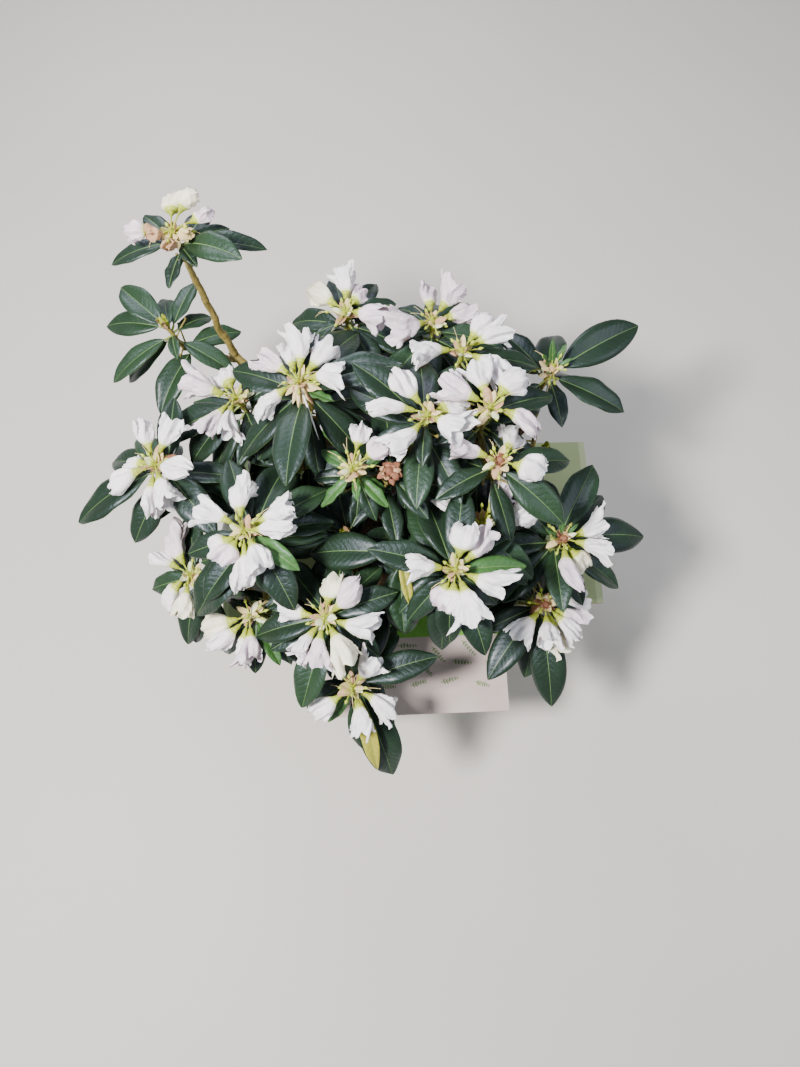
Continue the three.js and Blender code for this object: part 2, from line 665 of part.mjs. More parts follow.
addPiece('carton', cartonGeometry(), board);
const flapOut = CARTON_SIDE / 2 + GAP + BOARD * Math.sin(radians(FLAP_DROOP));
['flap_front', 'flap_right', 'flap_back', 'flap_left'].forEach((name, i) => {
  const side = new THREE.Group();
  side.rotation.z = (i * Math.PI) / 2;
  addPiece(name, flapGeometry(), i % 2 ? greenBoard : board, side).position.set(0, -flapOut, CARTON_HEIGHT);
  shrub.add(side);
});
addPiece('nursery_pot', potGeometry(), potPlastic);
addPiece('soil', soilGeometry(), peat);
for (const [name, limb] of limbs) addPiece(name, toGeometry(limb.solid), bark);
for (const mass of started) addPiece(mass.name, massGeometry(mass), foliage);

export default shrub;
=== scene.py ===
"""White-flowered evergreen azalea shrub in its nursery pot, inside a square plant carton: its finishes,
fine leaves, blossom, bark and printed board, laid over the solids of the frame."""

import functools
import math

import bpy
import numpy as np
from mathutils import Matrix, Vector, noise


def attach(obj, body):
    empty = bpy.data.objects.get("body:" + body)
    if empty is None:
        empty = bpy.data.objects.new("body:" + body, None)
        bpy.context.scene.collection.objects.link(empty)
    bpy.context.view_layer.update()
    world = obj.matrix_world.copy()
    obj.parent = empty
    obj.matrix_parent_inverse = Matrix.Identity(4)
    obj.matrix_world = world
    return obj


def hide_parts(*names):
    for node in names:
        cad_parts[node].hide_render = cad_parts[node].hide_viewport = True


bl_info = {
    "name": "Potted azalea shrub",
    "version": (1, 0, 0),
    "blender": (4, 5, 0),
    "location": "3D View > Sidebar > Shrub",
    "description": "Builds a flowering evergreen shrub in its pot and carton",
    "category": "Object",
}

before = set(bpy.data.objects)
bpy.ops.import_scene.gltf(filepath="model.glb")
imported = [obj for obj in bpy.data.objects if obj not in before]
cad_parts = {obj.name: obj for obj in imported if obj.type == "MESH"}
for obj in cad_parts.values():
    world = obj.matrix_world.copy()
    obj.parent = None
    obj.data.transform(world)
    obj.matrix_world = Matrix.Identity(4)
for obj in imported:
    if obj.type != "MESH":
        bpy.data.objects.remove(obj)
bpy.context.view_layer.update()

# Shapes are worked out in millimetres and degrees, and objects are in metres. Bearing 0 points to the right
# as the camera sees the shrub, 90 away from it, 180 to the left and 270 towards it
MM = 0.001
BODY = "root"

# Carton, pot and soil: a gap keeps each solid off the next; the soil is flat inside a radius and sinks outside
GAP = 0.3
CARTON_SIDE = 230
CARTON_HEIGHT = 200
BOARD = 3
FLAP_WIDTH = 226
FLAP_LENGTH = 127
FLAP_DROOP = 4
POT_HEIGHT = 186
POT_TOP = 107
POT_FOOT = 84
POT_WALL = 2
POT_RIM = 3
POT_RIM_DEPTH = 10
SOIL_DEPTH = 14
SOIL_EDGE = 3
SOIL_FLAT = 60

# Stem and limbs: the stem's radii at shares of its height, and how far out and up a limb is where it bends
STEM_TOP = (4, 4, 262)
STEM_SHARES = (0, 0.14, 0.35, 0.7, 1)
STEM_RADII = (18, 12.5, 11, 10, 9.5)
LIMB_STEPS = 6
LIMB_OUT = 0.62
LIMB_UP = 0.3

# Leaves: a blade's width as a share of its length; old leaves hang below a whorl, turned from its first
# leaf; a leaf roots a distance below the top of its twig, each one a step lower
LEAF_WIDTH = 0.42
LEAF_PITCH = 14
LEAF_BEND = 42
OLD_LEAVES = 3
OLD_PITCH = -6
OLD_TURN = 35
LEAF_VARY = {"bearing": 7, "pitch": 7, "bend": 10, "long": 0.14}
ROOT_OUT = 0.6
WHORL_TOP = 13
WHORL_STEP = 1.7
OLD_TOP = 27
OLD_STEP = 3

# Blossom: a flower is a stalk and then a bell that widens to its mouth; pitches are dealt out in turn
FLOWER_VARY = 5
STALK = 20
BELL = 41
MOUTH = 15
FLOWER_OUT = 2
KNOB_RADIUS = 7.5
FLOWER_PITCHES = (8, 24, -4, 16, -10)

# Twigs: each starts sunk in the stub at a limb's end, leaves along it and ends in a shoot's straight top
TWIG_STEPS = 4
TWIG_RADIUS = 2.6
STEM_STUB = 16
TWIG_SUNK = 0.7
TWIG_PULL = 0.35
SHOOT_STRAIGHT = 42
LEAN_LEAST = 8
LEAN_MORE = 20

# Room that a leaf or flower keeps from other masses and from its own, where its first points may meet the
# twig; the turns and lifts to try when it has none, and what a turn counts against a lift; how low foliage may
# hang near the flaps, and how far round them that holds
ROOM = 7.5
ROOM_KIN = 4
ROOTWARD = 2
TRY_TURNS = (0, 6, -6, 12, -12, 20, -20)
TRY_LIFTS = (0, 6, -8, 12, -16, 20, -26, -38)
TURN_COST = 2
FOLIAGE_FLOOR = CARTON_HEIGHT + 10
FLAP_ROOM = 6

# Random draws: each kind of piece has a thousand seeds, and a share is the draw's 32 bits over their range
FIRST_SEED = 1000
MASK = 0xFFFFFFFF
SEED_STEP = 0x6D2B79F5

# Each limb: its name, its parent, the share of the parent's length that it leaves from, where its tip is,
# and its radii at foot and tip
LIMBS = (
    ("left_back_bough", "stem", 0.5, (-204, 180, 352), (7, 5)),
    ("top_left_bough", "left_back_bough", 0.97, (-214, 188, 488), (4.4, 3.4)),
    ("left_whorl_bough", "left_back_bough", 0.95, (-232, 186, 346), (4, 3.2)),
    ("crown_left_bough", "left_back_bough", 0.42, (-118, 68, 372), (5, 3.6)),
    ("back_bough", "stem", 0.75, (-10, 124, 338), (6, 4)),
    ("left_bough", "stem", 0.68, (-204, 6, 322), (6, 4)),
    ("front_left_bough", "left_bough", 0.4, (-158, -92, 292), (4.6, 3.6)),
    ("front_bough", "stem", 0.52, (-62, -158, 268), (6, 4)),
    ("front_right_bough", "stem", 0.7, (50, -92, 330), (6, 4)),
    ("right_low_bough", "front_right_bough", 0.3, (124, -88, 264), (4.6, 3.6)),
    ("right_bough", "stem", 0.6, (146, 70, 326), (6, 4)),
    ("crown_right_bough", "right_bough", 0.36, (84, 26, 384), (4.6, 3.6)),
    ("crown_bough", "stem", 0.98, (-6, -10, 388), (6, 4)),
)


def shoot(at, whorl, long, leaves, bloom=(), old=OLD_LEAVES, end="bud", young=(), fresh=False,
          sprouts=(), yellow=(), crumpled=False, dry=False, bracts=(), shrivelled=()):
    """One shoot: where it ends, how many leaves its whorl has and how long they are, and what is given of it.

    leaves: bearing and length, and where they are given pitch and distance below the top; bloom: bearings of
    flowers; old: how many old leaves hang below; end: what it ends in if it has no bloom; young, yellow:
    bearings of leaves with those finishes; fresh: whether its whorl is this year's; sprouts: bearing, pitch
    and length; crumpled: whether its flowers are crumpled balls; dry: whether a withered bud is left in the
    truss; bracts: bearing, pitch, length, width and finish; shrivelled: dried flowers, with bearing, pitch,
    size and finish.
    """
    return {"at": at, "whorl": whorl, "long": long, "leaves": leaves, "bloom": bloom, "old": old, "end": end,
            "young": young, "fresh": fresh, "sprouts": sprouts, "yellow": yellow, "crumpled": crumpled,
            "dry": dry, "bracts": bracts, "shrivelled": shrivelled}


# Finishes of blossom, and of what is left in a truss, by their numbers
GREEN, LIME, PALE, WHITE, BLUSH, CREAM, TAN, BROWN, IVORY = range(9)

MASSES = (
    ("top_left_foliage", "top_left_bough", (
        shoot((-217, 190, 550), 8, 88,
              ((186, 78), (302, 40), (332, 87), (358, 90), (30, 57), (134, 66, 28), (258, 48)),
              (95, 60, 30, 180), old=0, crumpled=True, bracts=((290, -8, 17, 9, CREAM),),
              shrivelled=((204, 20, 0.6, TAN), (262, 6, 0.5, TAN), (330, 18, 0.52, CREAM))),)),
    ("left_whorl_foliage", "left_whorl_bough", (
        shoot((-274, 192, 402), 8, 86,
              ((162, 93, 28), (138, 90, 33), (105, 75, 33), (70, 78, 33), (46, 66), (282, 42), (208, 96),
               (240, 95, 10, 62), (8, 75, 26, 46), (354, 93, 10, 74)), old=1, fresh=True),)),
    ("back_foliage", "back_bough", (
        shoot((-57, 172, 430), 8, 92, ((24, 63), (198, 40)), (135, 85, 60, 330)),
        shoot((40, 152, 432), 8, 92, ((124, 69), (190, 54)), (95, 50, 20, 215)),
        shoot((10, 196, 348), 7, 90, ((40, 90),)),)),
    ("crown_left_foliage", "crown_left_bough", (
        shoot((-102, 60, 470), 8, 92,
              ((56, 112, 18), (330, 38), (316, 118), (14, 110), (212, 102), (260, 118), (152, 100),
               (114, 92)),
              (108, 82, 50, 140, 200, 0), young=(330,),
              bracts=((281, -26, 34, 6, CREAM), (252, -10, 22, 5, CREAM), (308, -34, 27, 6, TAN),
                      (226, 4, 18, 6, CREAM), (338, 8, 24, 6, CREAM), (296, -8, 20, 4, CREAM),
                      (268, -4, 26, 4, CREAM), (262, 30, 17, 6, CREAM), (288, -10, 62, 1.9, WHITE))),
        shoot((-184, 86, 402), 7, 88, ((193, 118, 20), (216, 98)), (112, 165, 225, 260)),
        shoot((-104, 128, 340), 7, 90, ((90, 90),)),
        shoot((-122, 28, 352), 6, 84, ((250, 84),)),)),
    ("left_foliage", "left_bough", (
        shoot((-273, 12, 392), 8, 90, ((200, 122, 22), (310, 104), (42, 66)),
              (60, 108, 157, 199, 262, 292, 325), bracts=((20, 22, 24, 10, BROWN), (80, 20, 22, 10, TAN))),
        shoot((-196, 34, 318), 6, 88, ((284, 62), (216, 45), (120, 88))),)),
    ("front_left_foliage", "front_left_bough", (
        shoot((-163, -85, 430), 8, 94, ((222, 120, 5, 36), (318, 68), (262, 50), (300, 92, 6, 22)),
              (100, 150, 208, 240, 272, 300, 345, 24), young=(318, 262)),
        shoot((-245, -97, 332), 7, 84, ((100, 84),), (120, 150, 210, 264)),
        shoot((-178, -146, 322), 7, 84, ((298, 63), (268, 68), (144, 42)), (190, 222, 250, 275),
              young=(298,)),)),
    ("front_foliage", "front_bough", (
        shoot((-88, -165, 372), 8, 92, ((16, 81), (356, 57), (324, 72), (250, 105)),
              (75, 28, 341, 299, 165, 228, 257)),
        shoot((-66, -228, 312), 7, 92, ((18, 99), (292, 128, 2, 26), (230, 56), (285, 108, 6, 13)),
              (211, 38, 333, 288), young=(230,), yellow=(285,)),
        shoot((-68, -66, 356), 6, 86, ((60, 84),)),)),
    ("front_right_foliage", "front_right_bough", (
        shoot((49, -135, 422), 8, 92, ((218, 78), (4, 78), (292, 93), (332, 63)),
              (175, 71, 40, 333, 235, 262, 290), young=(4,)),
        shoot((80, -78, 398), 6, 88, ((45, 88),), (150, 60, 8)),
        shoot((-8, -106, 400), 6, 98, ((170, 111), (98, 72), (6, 48)), sprouts=((284, -12, 56),)),)),
    ("right_low_foliage", "right_low_bough", (
        shoot((171, -83, 352), 9, 90,
              ((10, 118, 22), (62, 105, 22), (96, 81), (130, 87), (184, 81), (228, 90)),
              (17, 342, 307, 268), dry=True, sprouts=((95, 60, 30), (35, 48, 26), (160, 66, 24))),
        shoot((152, -142, 300), 7, 88, ((228, 106), (276, 125, 24), (202, 69)),
              (225, 268, 292, 315, 338, 15), dry=True),)),
    ("right_foliage", "right_bough", (
        shoot((172, 103, 402), 7, 98, ((26, 125, 38), (334, 99), (280, 66), (158, 93), (122, 93)),
              old=2, end="opening",
              sprouts=((100, 72, 34), (45, 58, 32), (15, 40, 26), (140, 78, 28), (250, 70, 22))),
        shoot((166, 36, 336), 4, 80, ((110, 80), (160, 84), (205, 84), (250, 70)), old=0),
        shoot((98, 134, 346), 7, 90, ((70, 90),)),)),
    ("crown_right_foliage", "crown_right_bough", (
        shoot((92, 18, 472), 7, 88, ((128, 86), (12, 84), (205, 60)), (106, 47, 344, 156),
              bracts=((100, 35, 20, 10, TAN), (230, -10, 22, 9, CREAM))),
        shoot((98, -36, 458), 3, 92, ((320, 92), (205, 72, 0), (12, 96)), (160, 338, 60), dry=True,
              bracts=((250, 10, 18, 10, TAN),)),
        shoot((69, 98, 452), 3, 90, ((0, 90), (245, 76), (300, 80)), (54, 22, 182, 322), old=1),)),
    ("crown_foliage", "crown_bough", (
        shoot((29, 8, 482), 6, 90, ((354, 57), (272, 51), (202, 60, 2)), (171, 130, 233, 308, 33)),
        shoot((-50, -33, 452), 6, 46, ((142, 48), (216, 51), (274, 33), (312, 48), (336, 36), (30, 36)),
              (74, 20), young=(142, 216, 274, 312, 336, 30), crumpled=True),
        shoot((-12, -37, 448), 8, 94, ((22, 90), (336, 60), (314, 60), (202, 105)), end="spent"),)),
)


def imul(a, b):
    """A product that keeps 32 bits."""
    return (a * b) & MASK


def seeded(seed):
    """A source of random shares that gives the same ones each time for a seed."""
    state = seed

    def draw():
        nonlocal state
        state = (state + SEED_STEP) & MASK
        mixed = imul(state ^ (state >> 15), state | 1)
        mixed = ((mixed + imul(mixed ^ (mixed >> 7), mixed | 61)) & MASK) ^ mixed
        return (mixed ^ (mixed >> 14)) / (MASK + 1)

    return draw


def vec(*values):
    """A point or direction."""
    return np.array(values, float)


def unit(v):
    """A direction of length one."""
    return v / np.linalg.norm(v)


def heading(bearing, pitch):
    """The direction with a bearing and a pitch above level."""
    b, p = math.radians(bearing), math.radians(pitch)
    return vec(math.cos(p) * math.cos(b), math.cos(p) * math.sin(b), math.sin(p))


def point_along(points, share):
    """The point of a polyline at a share of its length."""
    points = np.asarray(points, float)
    runs = np.linalg.norm(np.diff(points, axis=0), axis=1)
    far = share * runs.sum()
    for start, end, run in zip(points[:-1], points[1:], runs):
        if far <= run:
            return start + (end - start) * (far / run)
        far -= run
    return points[-1].copy()


def spaced_points(points):
    """Evenly spaced points that stand for a limb or twig when room is looked for."""
    return np.array([point_along(points, i / 24) for i in range(25)])


def midrib(given, t):
    """The point at a share of a leaf's length: it starts at its pitch and curves down by its bend."""
    start, turn = math.radians(given["pitch"]), math.radians(given["bend"])
    out = given["long"] / turn * (math.sin(start) - math.sin(start - turn * t))
    up = given["long"] / turn * (math.cos(start - turn * t) - math.cos(start))
    return given["root"] + heading(given["bearing"], 0) * out + vec(0, 0, up)


def leaf_points(given):
    """Points spread over a leaf, root first, for looking for room."""
    across = heading(given["bearing"] - 90, 0)
    points = [midrib(given, 0.08), midrib(given, 0.16)]
    for row in range(10):
        t = 0.24 + 0.08 * row
        half = LEAF_WIDTH * given["long"] * math.sin(math.pi * (0.12 + 0.8 * t)) / 2
        for side in (-0.92, -0.6, -0.3, 0, 0.3, 0.6, 0.92):
            points.append(midrib(given, t) + across * side * half)
    return np.array(points)


def flower_points(given):
    """Points on a flower's stalk and on rings round its bell, for looking for room."""
    along = heading(given["bearing"], given["pitch"])
    across = heading(given["bearing"] - 90, 0)
    upright = np.cross(across, along)
    points = [given["root"] + along * share * STALK for share in (0.4, 0.7, 1)]
    for share in (0.4, 0.7, 1):
        centre = given["root"] + along * (STALK + share * BELL)
        for i in range(6):
            angle = i * math.pi / 3
            rim = across * math.cos(angle) + upright * math.sin(angle)
            points.append(centre + rim * share * MOUTH)
    return np.array(points)


# Turns and lifts to try for a piece, the smallest change first
TRIES = sorted(((turn, lift) for turn in TRY_TURNS for lift in TRY_LIFTS),
               key=lambda tried: TURN_COST * abs(tried[0]) + abs(tried[1]))


class Room:
    """Everything grown so far, as groups of points with the mass that they belong to."""

    def __init__(self):
        self.groups = []
        self.apart, self.apart_kin = ROOM, ROOM_KIN

    def remember(self, points, radius, owner):
        """Adds a group of points, its half thickness and the mass or limb that it belongs to."""
        points = np.asarray(points, float).reshape(-1, 3)
        self.groups.append((points, radius, owner, points.min(0), points.max(0)))

    def is_clear(self, points, owner):
        """Whether points keep off the flaps and off all that has grown; roots may meet their own twig."""
        flat = np.abs(points[:, :2])
        low = points[:, 2] < FOLIAGE_FLOOR
        over = flat.min(1) < FLAP_WIDTH / 2 + FLAP_ROOM
        near = flat.max(1) < CARTON_SIDE / 2 + FLAP_LENGTH + FLAP_ROOM
        if (low & over & near).any():
            return False
        lo, hi = points.min(0), points.max(0)
        for other, radius, whose, other_lo, other_hi in self.groups:
            kin = whose == owner
            room = radius + (self.apart_kin if kin else self.apart)
            if (other_lo - room > hi).any() or (other_hi + room < lo).any():
                continue
            tested = points[ROOTWARD:] if kin else points
            apart = tested[:, None, :] - other[None, :, :]
            if (np.einsum("ijk,ijk->ij", apart, apart) <= room * room).any():
                return False
        return True

    def settle(self, piece, points_of, owner):
        """The piece, turned and lifted as little as it has to be to fit, or None."""
        for turn, lift in TRIES:
            tried = {**piece, "bearing": piece["bearing"] + turn, "pitch": piece["pitch"] + lift}
            points = points_of(tried)
            if self.is_clear(points, owner):
                self.remember(points, 0, owner)
                return tried
        return None


def stem_points():
    """The stem leans a little above its flare and starts on the soil."""
    foot = BOARD + GAP + POT_HEIGHT - SOIL_DEPTH + GAP
    x, y, top = STEM_TOP
    points = []
    for i, share in enumerate(STEM_SHARES):
        lean = 0 if i < 2 else share
        points.append(vec(x * lean, y * lean, foot + (top - foot) * share))
    return np.array(points)


def limb_points(parent, at, tip):
    """A limb goes out from its parent and then bends up to its tip."""
    foot = point_along(parent, at)
    end = vec(*tip)
    bend = foot + (end - foot) * vec(LIMB_OUT, LIMB_OUT, LIMB_UP)
    t = np.linspace(0, 1, LIMB_STEPS + 1)[:, None]
    return (1 - t) ** 2 * foot + 2 * t * (1 - t) * bend + t ** 2 * end


def radii_between(foot, tip, steps):
    """Radii that taper evenly from foot to tip."""
    return [foot + (tip - foot) * i / steps for i in range(steps + 1)]


def shoot_lean(at):
    """A shoot leans outward, and more so the lower and the further out it is."""
    x, y, z = at
    far = math.hypot(x, y) / 300
    low = 1 - (z - 300) / 300
    return math.degrees(math.atan2(y, x)), LEAN_LEAST + LEAN_MORE * far * low


def twig_points(start, along, top, axis):
    """A curve that leaves the limb in its direction and ends in the straight top of the shoot."""
    base = top - axis * SHOOT_STRAIGHT
    far = np.linalg.norm(base - start)
    a, b = start + along * far * TWIG_PULL, base - axis * far * TWIG_PULL
    t = np.linspace(0, 1, TWIG_STEPS + 1)[:, None]
    curve = (1 - t) ** 3 * start + 3 * t * (1 - t) ** 2 * a + 3 * t ** 2 * (1 - t) * b + t ** 3 * base
    return np.vstack([curve, top])


def down_the_twig(route, down):
    """The point that lies a distance below the top of a twig, measured along it."""
    length = np.linalg.norm(np.diff(route, axis=0), axis=1).sum()
    return point_along(route, 1 - down / length)


def vary(draw, amount):
    """A random number between minus the amount and plus the amount."""
    return amount * (2 * draw() - 1)


def tipped(s, bearing):
    """How far a shoot's lean tips what it carries at a bearing."""
    return s["lean"] * math.cos(math.radians(bearing - s["out"]))


def whorl_bearings(s):
    """The bearings of the leaves that are given, and more in the widest gaps until the whorl is full."""
    taken = sorted(row[0] % 360 for row in s["leaves"] if len(row) < 4)
    added = []
    while len(taken) < s["whorl"]:
        gaps = [((taken + [taken[0] + 360])[i + 1] - b, b) for i, b in enumerate(taken)]
        widest, start = max(gaps, key=lambda gap: gap[0])
        middle = (start + widest / 2) % 360
        added.append(middle)
        taken = sorted(taken + [middle])
    return added


def leaf_at(s, bearing, long, pitch, bend, down):
    """A leaf rooted on the twig at a distance below its top."""
    root = down_the_twig(s["route"], down) + heading(bearing, 0) * ROOT_OUT
    pitch -= tipped(s, bearing)
    return {"root": root, "bearing": bearing, "pitch": pitch, "bend": bend, "long": long}


def flower_at(s, bearing, pitch):
    """A flower rooted on the top of a shoot."""
    root = vec(*s["at"]) + heading(bearing, pitch) * FLOWER_OUT
    return {"root": root, "bearing": bearing, "pitch": pitch}


def varied_leaf(s, draw, bearing, pitch, down):
    """A leaf that the photo doesn't give: its bearing, pitch, bend and length are varied."""
    bearing += vary(draw, LEAF_VARY["bearing"])
    pitch += vary(draw, LEAF_VARY["pitch"])
    bend = LEAF_BEND + vary(draw, LEAF_VARY["bend"])
    return leaf_at(s, bearing, s["long"] * (1 + vary(draw, LEAF_VARY["long"])), pitch, bend, down)


def grow():
    """The rule: limbs, then twigs, flowers, the leaves that are given, and the rest of each whorl."""
    room = Room()
    limbs = {"stem": (stem_points(), STEM_RADII)}
    room.remember(spaced_points(limbs["stem"][0]), STEM_RADII[-1], "stem")
    for name, parent, at, tip, (foot, end) in LIMBS:
        points = limb_points(limbs[parent][0], at, tip)
        limbs[name] = (points, radii_between(foot, end, LIMB_STEPS))
        room.remember(spaced_points(points), end, name)
    masses = []
    for number, (name, limb, shoots) in enumerate(MASSES):
        points, radii = limbs[limb]
        along = unit(points[-1] - points[-2])
        start = points[-1] + along * GAP
        sunk = start + along * STEM_STUB * TWIG_SUNK
        sprung = []
        for given in shoots:
            out, lean = shoot_lean(given["at"])
            axis = heading(out, 90 - lean)
            route = twig_points(sunk, along, vec(*given["at"]), axis)
            sprung.append({**given, "out": out, "lean": lean, "axis": axis, "route": route,
                           "flowers": [], "blades": []})
            room.remember(spaced_points(route), TWIG_RADIUS, name)
            room.remember([given["at"]], KNOB_RADIUS, name)
        masses.append({"name": name, "start": start, "along": along, "radius": radii[-1],
                       "shoots": sprung, "draw": seeded(FIRST_SEED + number)})
    for mass in masses:
        for s in mass["shoots"]:
            for i, bearing in enumerate(s["bloom"]):
                level = FLOWER_PITCHES[i % len(FLOWER_PITCHES)] + vary(mass["draw"], FLOWER_VARY)
                piece = flower_at(s, bearing, level - tipped(s, bearing))
                settled = room.settle(piece, flower_points, mass["name"])
                if settled:
                    s["flowers"].append(settled)
    for mass in masses:
        for s in mass["shoots"]:
            for i, row in enumerate(s["leaves"]):
                bearing, long = row[:2]
                pitch = row[2] if len(row) > 2 else LEAF_PITCH
                down = row[3] if len(row) > 3 else WHORL_TOP + WHORL_STEP * i
                blade = leaf_at(s, bearing, long, pitch, LEAF_BEND, down)
                s["blades"].append(room.settle(blade, leaf_points, mass["name"]))
    for mass in masses:
        for s in mass["shoots"]:
            given, first = len(s["leaves"]), s["leaves"][0][0]
            wanted = [(bearing, LEAF_PITCH, WHORL_TOP + WHORL_STEP * (given + i))
                      for i, bearing in enumerate(whorl_bearings(s))]
            wanted += [(first + OLD_TURN + 360 * i / OLD_LEAVES, OLD_PITCH, OLD_TOP + OLD_STEP * i)
                       for i in range(s["old"])]
            for bearing, pitch, down in wanted:
                blade = varied_leaf(s, mass["draw"], bearing, pitch, down)
                s["blades"].append(room.settle(blade, leaf_points, mass["name"]))
    return limbs, masses, room


# Leaves that only the fine model has, deeper in the crown: distance down the twig, and how many. They are
# smaller than those of the whorl, and lie closer to what is round them
INNER_LEAVES = ((37, 4), (50, 3), (64, 3))
INNER_LONGEST = 96
INNER_SHARES = (0.72, 0.24)
INNER_PITCH = -4
INNER_VARY = {"bearing": 12, "pitch": 14, "bend": 12}
INNER_ROOM = 3.5
INNER_KIN = 2.5


@functools.lru_cache(maxsize=None)
def grown():
    """The plant by the rule, and then the leaves deeper in its crown."""
    limbs, masses, room = grow()
    room.apart, room.apart_kin = INNER_ROOM, INNER_KIN
    for number, mass in enumerate(masses):
        draw = seeded(2 * FIRST_SEED + number)
        for s in mass["shoots"]:
            s["inner"] = []
            for down, many in INNER_LEAVES if s["old"] == OLD_LEAVES else ():
                turn = 360 * draw()
                for i in range(many):
                    bearing = turn + 360 * i / many + vary(draw, INNER_VARY["bearing"])
                    least, more = INNER_SHARES
                    long = min(s["long"], INNER_LONGEST) * (least + more * draw())
                    pitch = INNER_PITCH + vary(draw, INNER_VARY["pitch"])
                    bend = LEAF_BEND + vary(draw, INNER_VARY["bend"])
                    blade = leaf_at(s, bearing, long, pitch, bend, down)
                    s["inner"].append(room.settle(blade, leaf_points, mass["name"]))
    return limbs, masses


class Shape:
    """Faces gathered for one mesh, each with the number of its finish. Points are in millimetres."""

    def __init__(self):
        self.points, self.uvs = [], []
        self.quads, self.tris, self.quad_kinds, self.tri_kinds = [], [], [], []
        self.count = 0

    def sweep(self, rings, kinds=0, uvs=None):
        """A closed skin over rings of points that run anticlockwise, seen from where the sweep goes."""
        rows, around, _ = rings.shape
        if uvs is None:
            uvs = np.zeros((rows, around, 2))
        self.points += [rings.reshape(-1, 3), rings[:1].mean(1), rings[-1:].mean(1)]
        self.uvs += [uvs.reshape(-1, 2), uvs[:1].mean(1), uvs[-1:].mean(1)]
        r, c = np.mgrid[0:rows - 1, 0:around]
        a, b = self.count + r * around + c, self.count + r * around + (c + 1) % around
        self.quads.append(np.stack([a, b, b + around, a + around], -1).reshape(-1, 4))
        kinds = np.broadcast_to(kinds, (rows - 1, around))
        self.quad_kinds.append(kinds.reshape(-1))
        foot = self.count + np.arange(around)
        tip, poles = foot + (rows - 1) * around, self.count + rows * around
        self.tris.append(np.stack([np.roll(foot, -1), foot, np.full(around, poles)], -1))
        self.tris.append(np.stack([tip, np.roll(tip, -1), np.full(around, poles + 1)], -1))
        self.tri_kinds += [kinds[0], kinds[-1]]
        self.count = poles + 2

    def finish(self, name, materials, slot, replaces=(), sharp=62):
        """Makes the object out of what was gathered; it rides on the body and stands for CAD nodes."""
        points, uvs = np.vstack(self.points) * MM, np.vstack(self.uvs)
        quads, tris = np.vstack(self.quads), np.vstack(self.tris)
        corners = np.concatenate([quads.reshape(-1), tris.reshape(-1)])
        starts = np.concatenate([np.arange(len(quads)) * 4, len(quads) * 4 + np.arange(len(tris)) * 3])
        mesh = bpy.data.meshes.new(name)
        mesh.vertices.add(len(points))
        mesh.vertices.foreach_set("co", points.astype(np.float32).ravel())
        mesh.loops.add(len(corners))
        mesh.loops.foreach_set("vertex_index", corners.astype(np.int32))
        mesh.polygons.add(len(starts))
        mesh.polygons.foreach_set("loop_start", starts.astype(np.int32))
        kinds = np.concatenate(self.quad_kinds + self.tri_kinds)
        mesh.polygons.foreach_set("material_index", kinds.astype(np.int32))
        layer = mesh.uv_layers.new(name="Millimetres")
        layer.data.foreach_set("uv", uvs[corners].astype(np.float32).ravel())
        mesh.update(calc_edges=True)
        if mesh.validate():
            raise ValueError(f"{name} has faces that aren't real")
        for material in materials:
            mesh.materials.append(material)
        mesh.shade_smooth()
        mesh.set_sharp_from_angle(angle=math.radians(sharp))
        piece = bpy.data.objects.new(name, mesh)
        bpy.context.scene.collection.objects.link(piece)
        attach(piece, BODY)
        if replaces:
            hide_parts(*replaces)
        return piece


def frames_along(points):
    """Side and up directions at each point of a path, turned as little as they can be."""
    ahead = np.vstack([points[1:], points[-1:]]) - np.vstack([points[:1], points[:-1]])
    along = ahead / np.linalg.norm(ahead, axis=1)[:, None]
    side = np.cross(along[0], (0, 0, 1) if abs(along[0][2]) < 0.9 else (0, 1, 0))
    sides = []
    for a in along:
        side = unit(side - a * (side @ a))
        sides.append(side)
    sides = np.array(sides)
    return sides, np.cross(along, sides)


def smooth_path(points, steps):
    """A curve through points, with a number of steps between each pair."""
    p = np.asarray(points, float)
    p = np.vstack([2 * p[0] - p[1], p, 2 * p[-1] - p[-2]])
    t = np.linspace(0, 1, steps, endpoint=False)[:, None]
    found = []
    for a, b, c, d in zip(p[:-3], p[1:-2], p[2:-1], p[3:]):
        found.append(0.5 * (2 * b + (c - a) * t + (2 * a - 5 * b + 4 * c - d) * t ** 2
                            + (3 * b - a - 3 * c + d) * t ** 3))
    return np.vstack(found + [p[-2:-1]])


def lengths_along(points):
    """How far along a path each of its points is."""
    return np.concatenate([[0], np.cumsum(np.linalg.norm(np.diff(points, axis=0), axis=1))])


def tube(shape, points, radii, around, kind=0, relief=0):
    """A round stalk through points; relief adds to its radius along it and round it."""
    side, up = frames_along(points)
    turn = np.arange(around) * 2 * math.pi / around
    radii = np.asarray(radii, float)[:, None] + np.zeros(around) + relief
    circle = side[:, None] * np.cos(turn)[:, None] + up[:, None] * np.sin(turn)[:, None]
    uvs = np.stack([turn * radii, lengths_along(points)[:, None] + 0 * radii], -1)
    shape.sweep(points[:, None] + radii[..., None] * circle, kind, uvs)


def lathe(shape, profile, around, kinds=0, relief=0):
    """A round body about the upright axis from pairs of radius and height."""
    turn = np.arange(around) * 2 * math.pi / around
    profile = np.asarray(profile, float)
    radius = profile[:, :1] + relief
    height = profile[:, 1:] + np.zeros(around)
    rings = np.stack([radius * np.cos(turn), radius * np.sin(turn), height], -1)
    shape.sweep(rings, kinds, np.stack([turn * radius, height], -1))


# Leaves: shares of the half width at which a blade has points, its rows, the share of its length that is
# stalk, the powers by which it widens and narrows, and the most that their product comes to
LEAF_COLUMNS = np.array((1, 0.8, 0.52, 0.26))
LEAF_ROWS = 15
PETIOLE = 0.12
WIDENS, NARROWS, WIDEST = 0.82, 0.84, 0.317

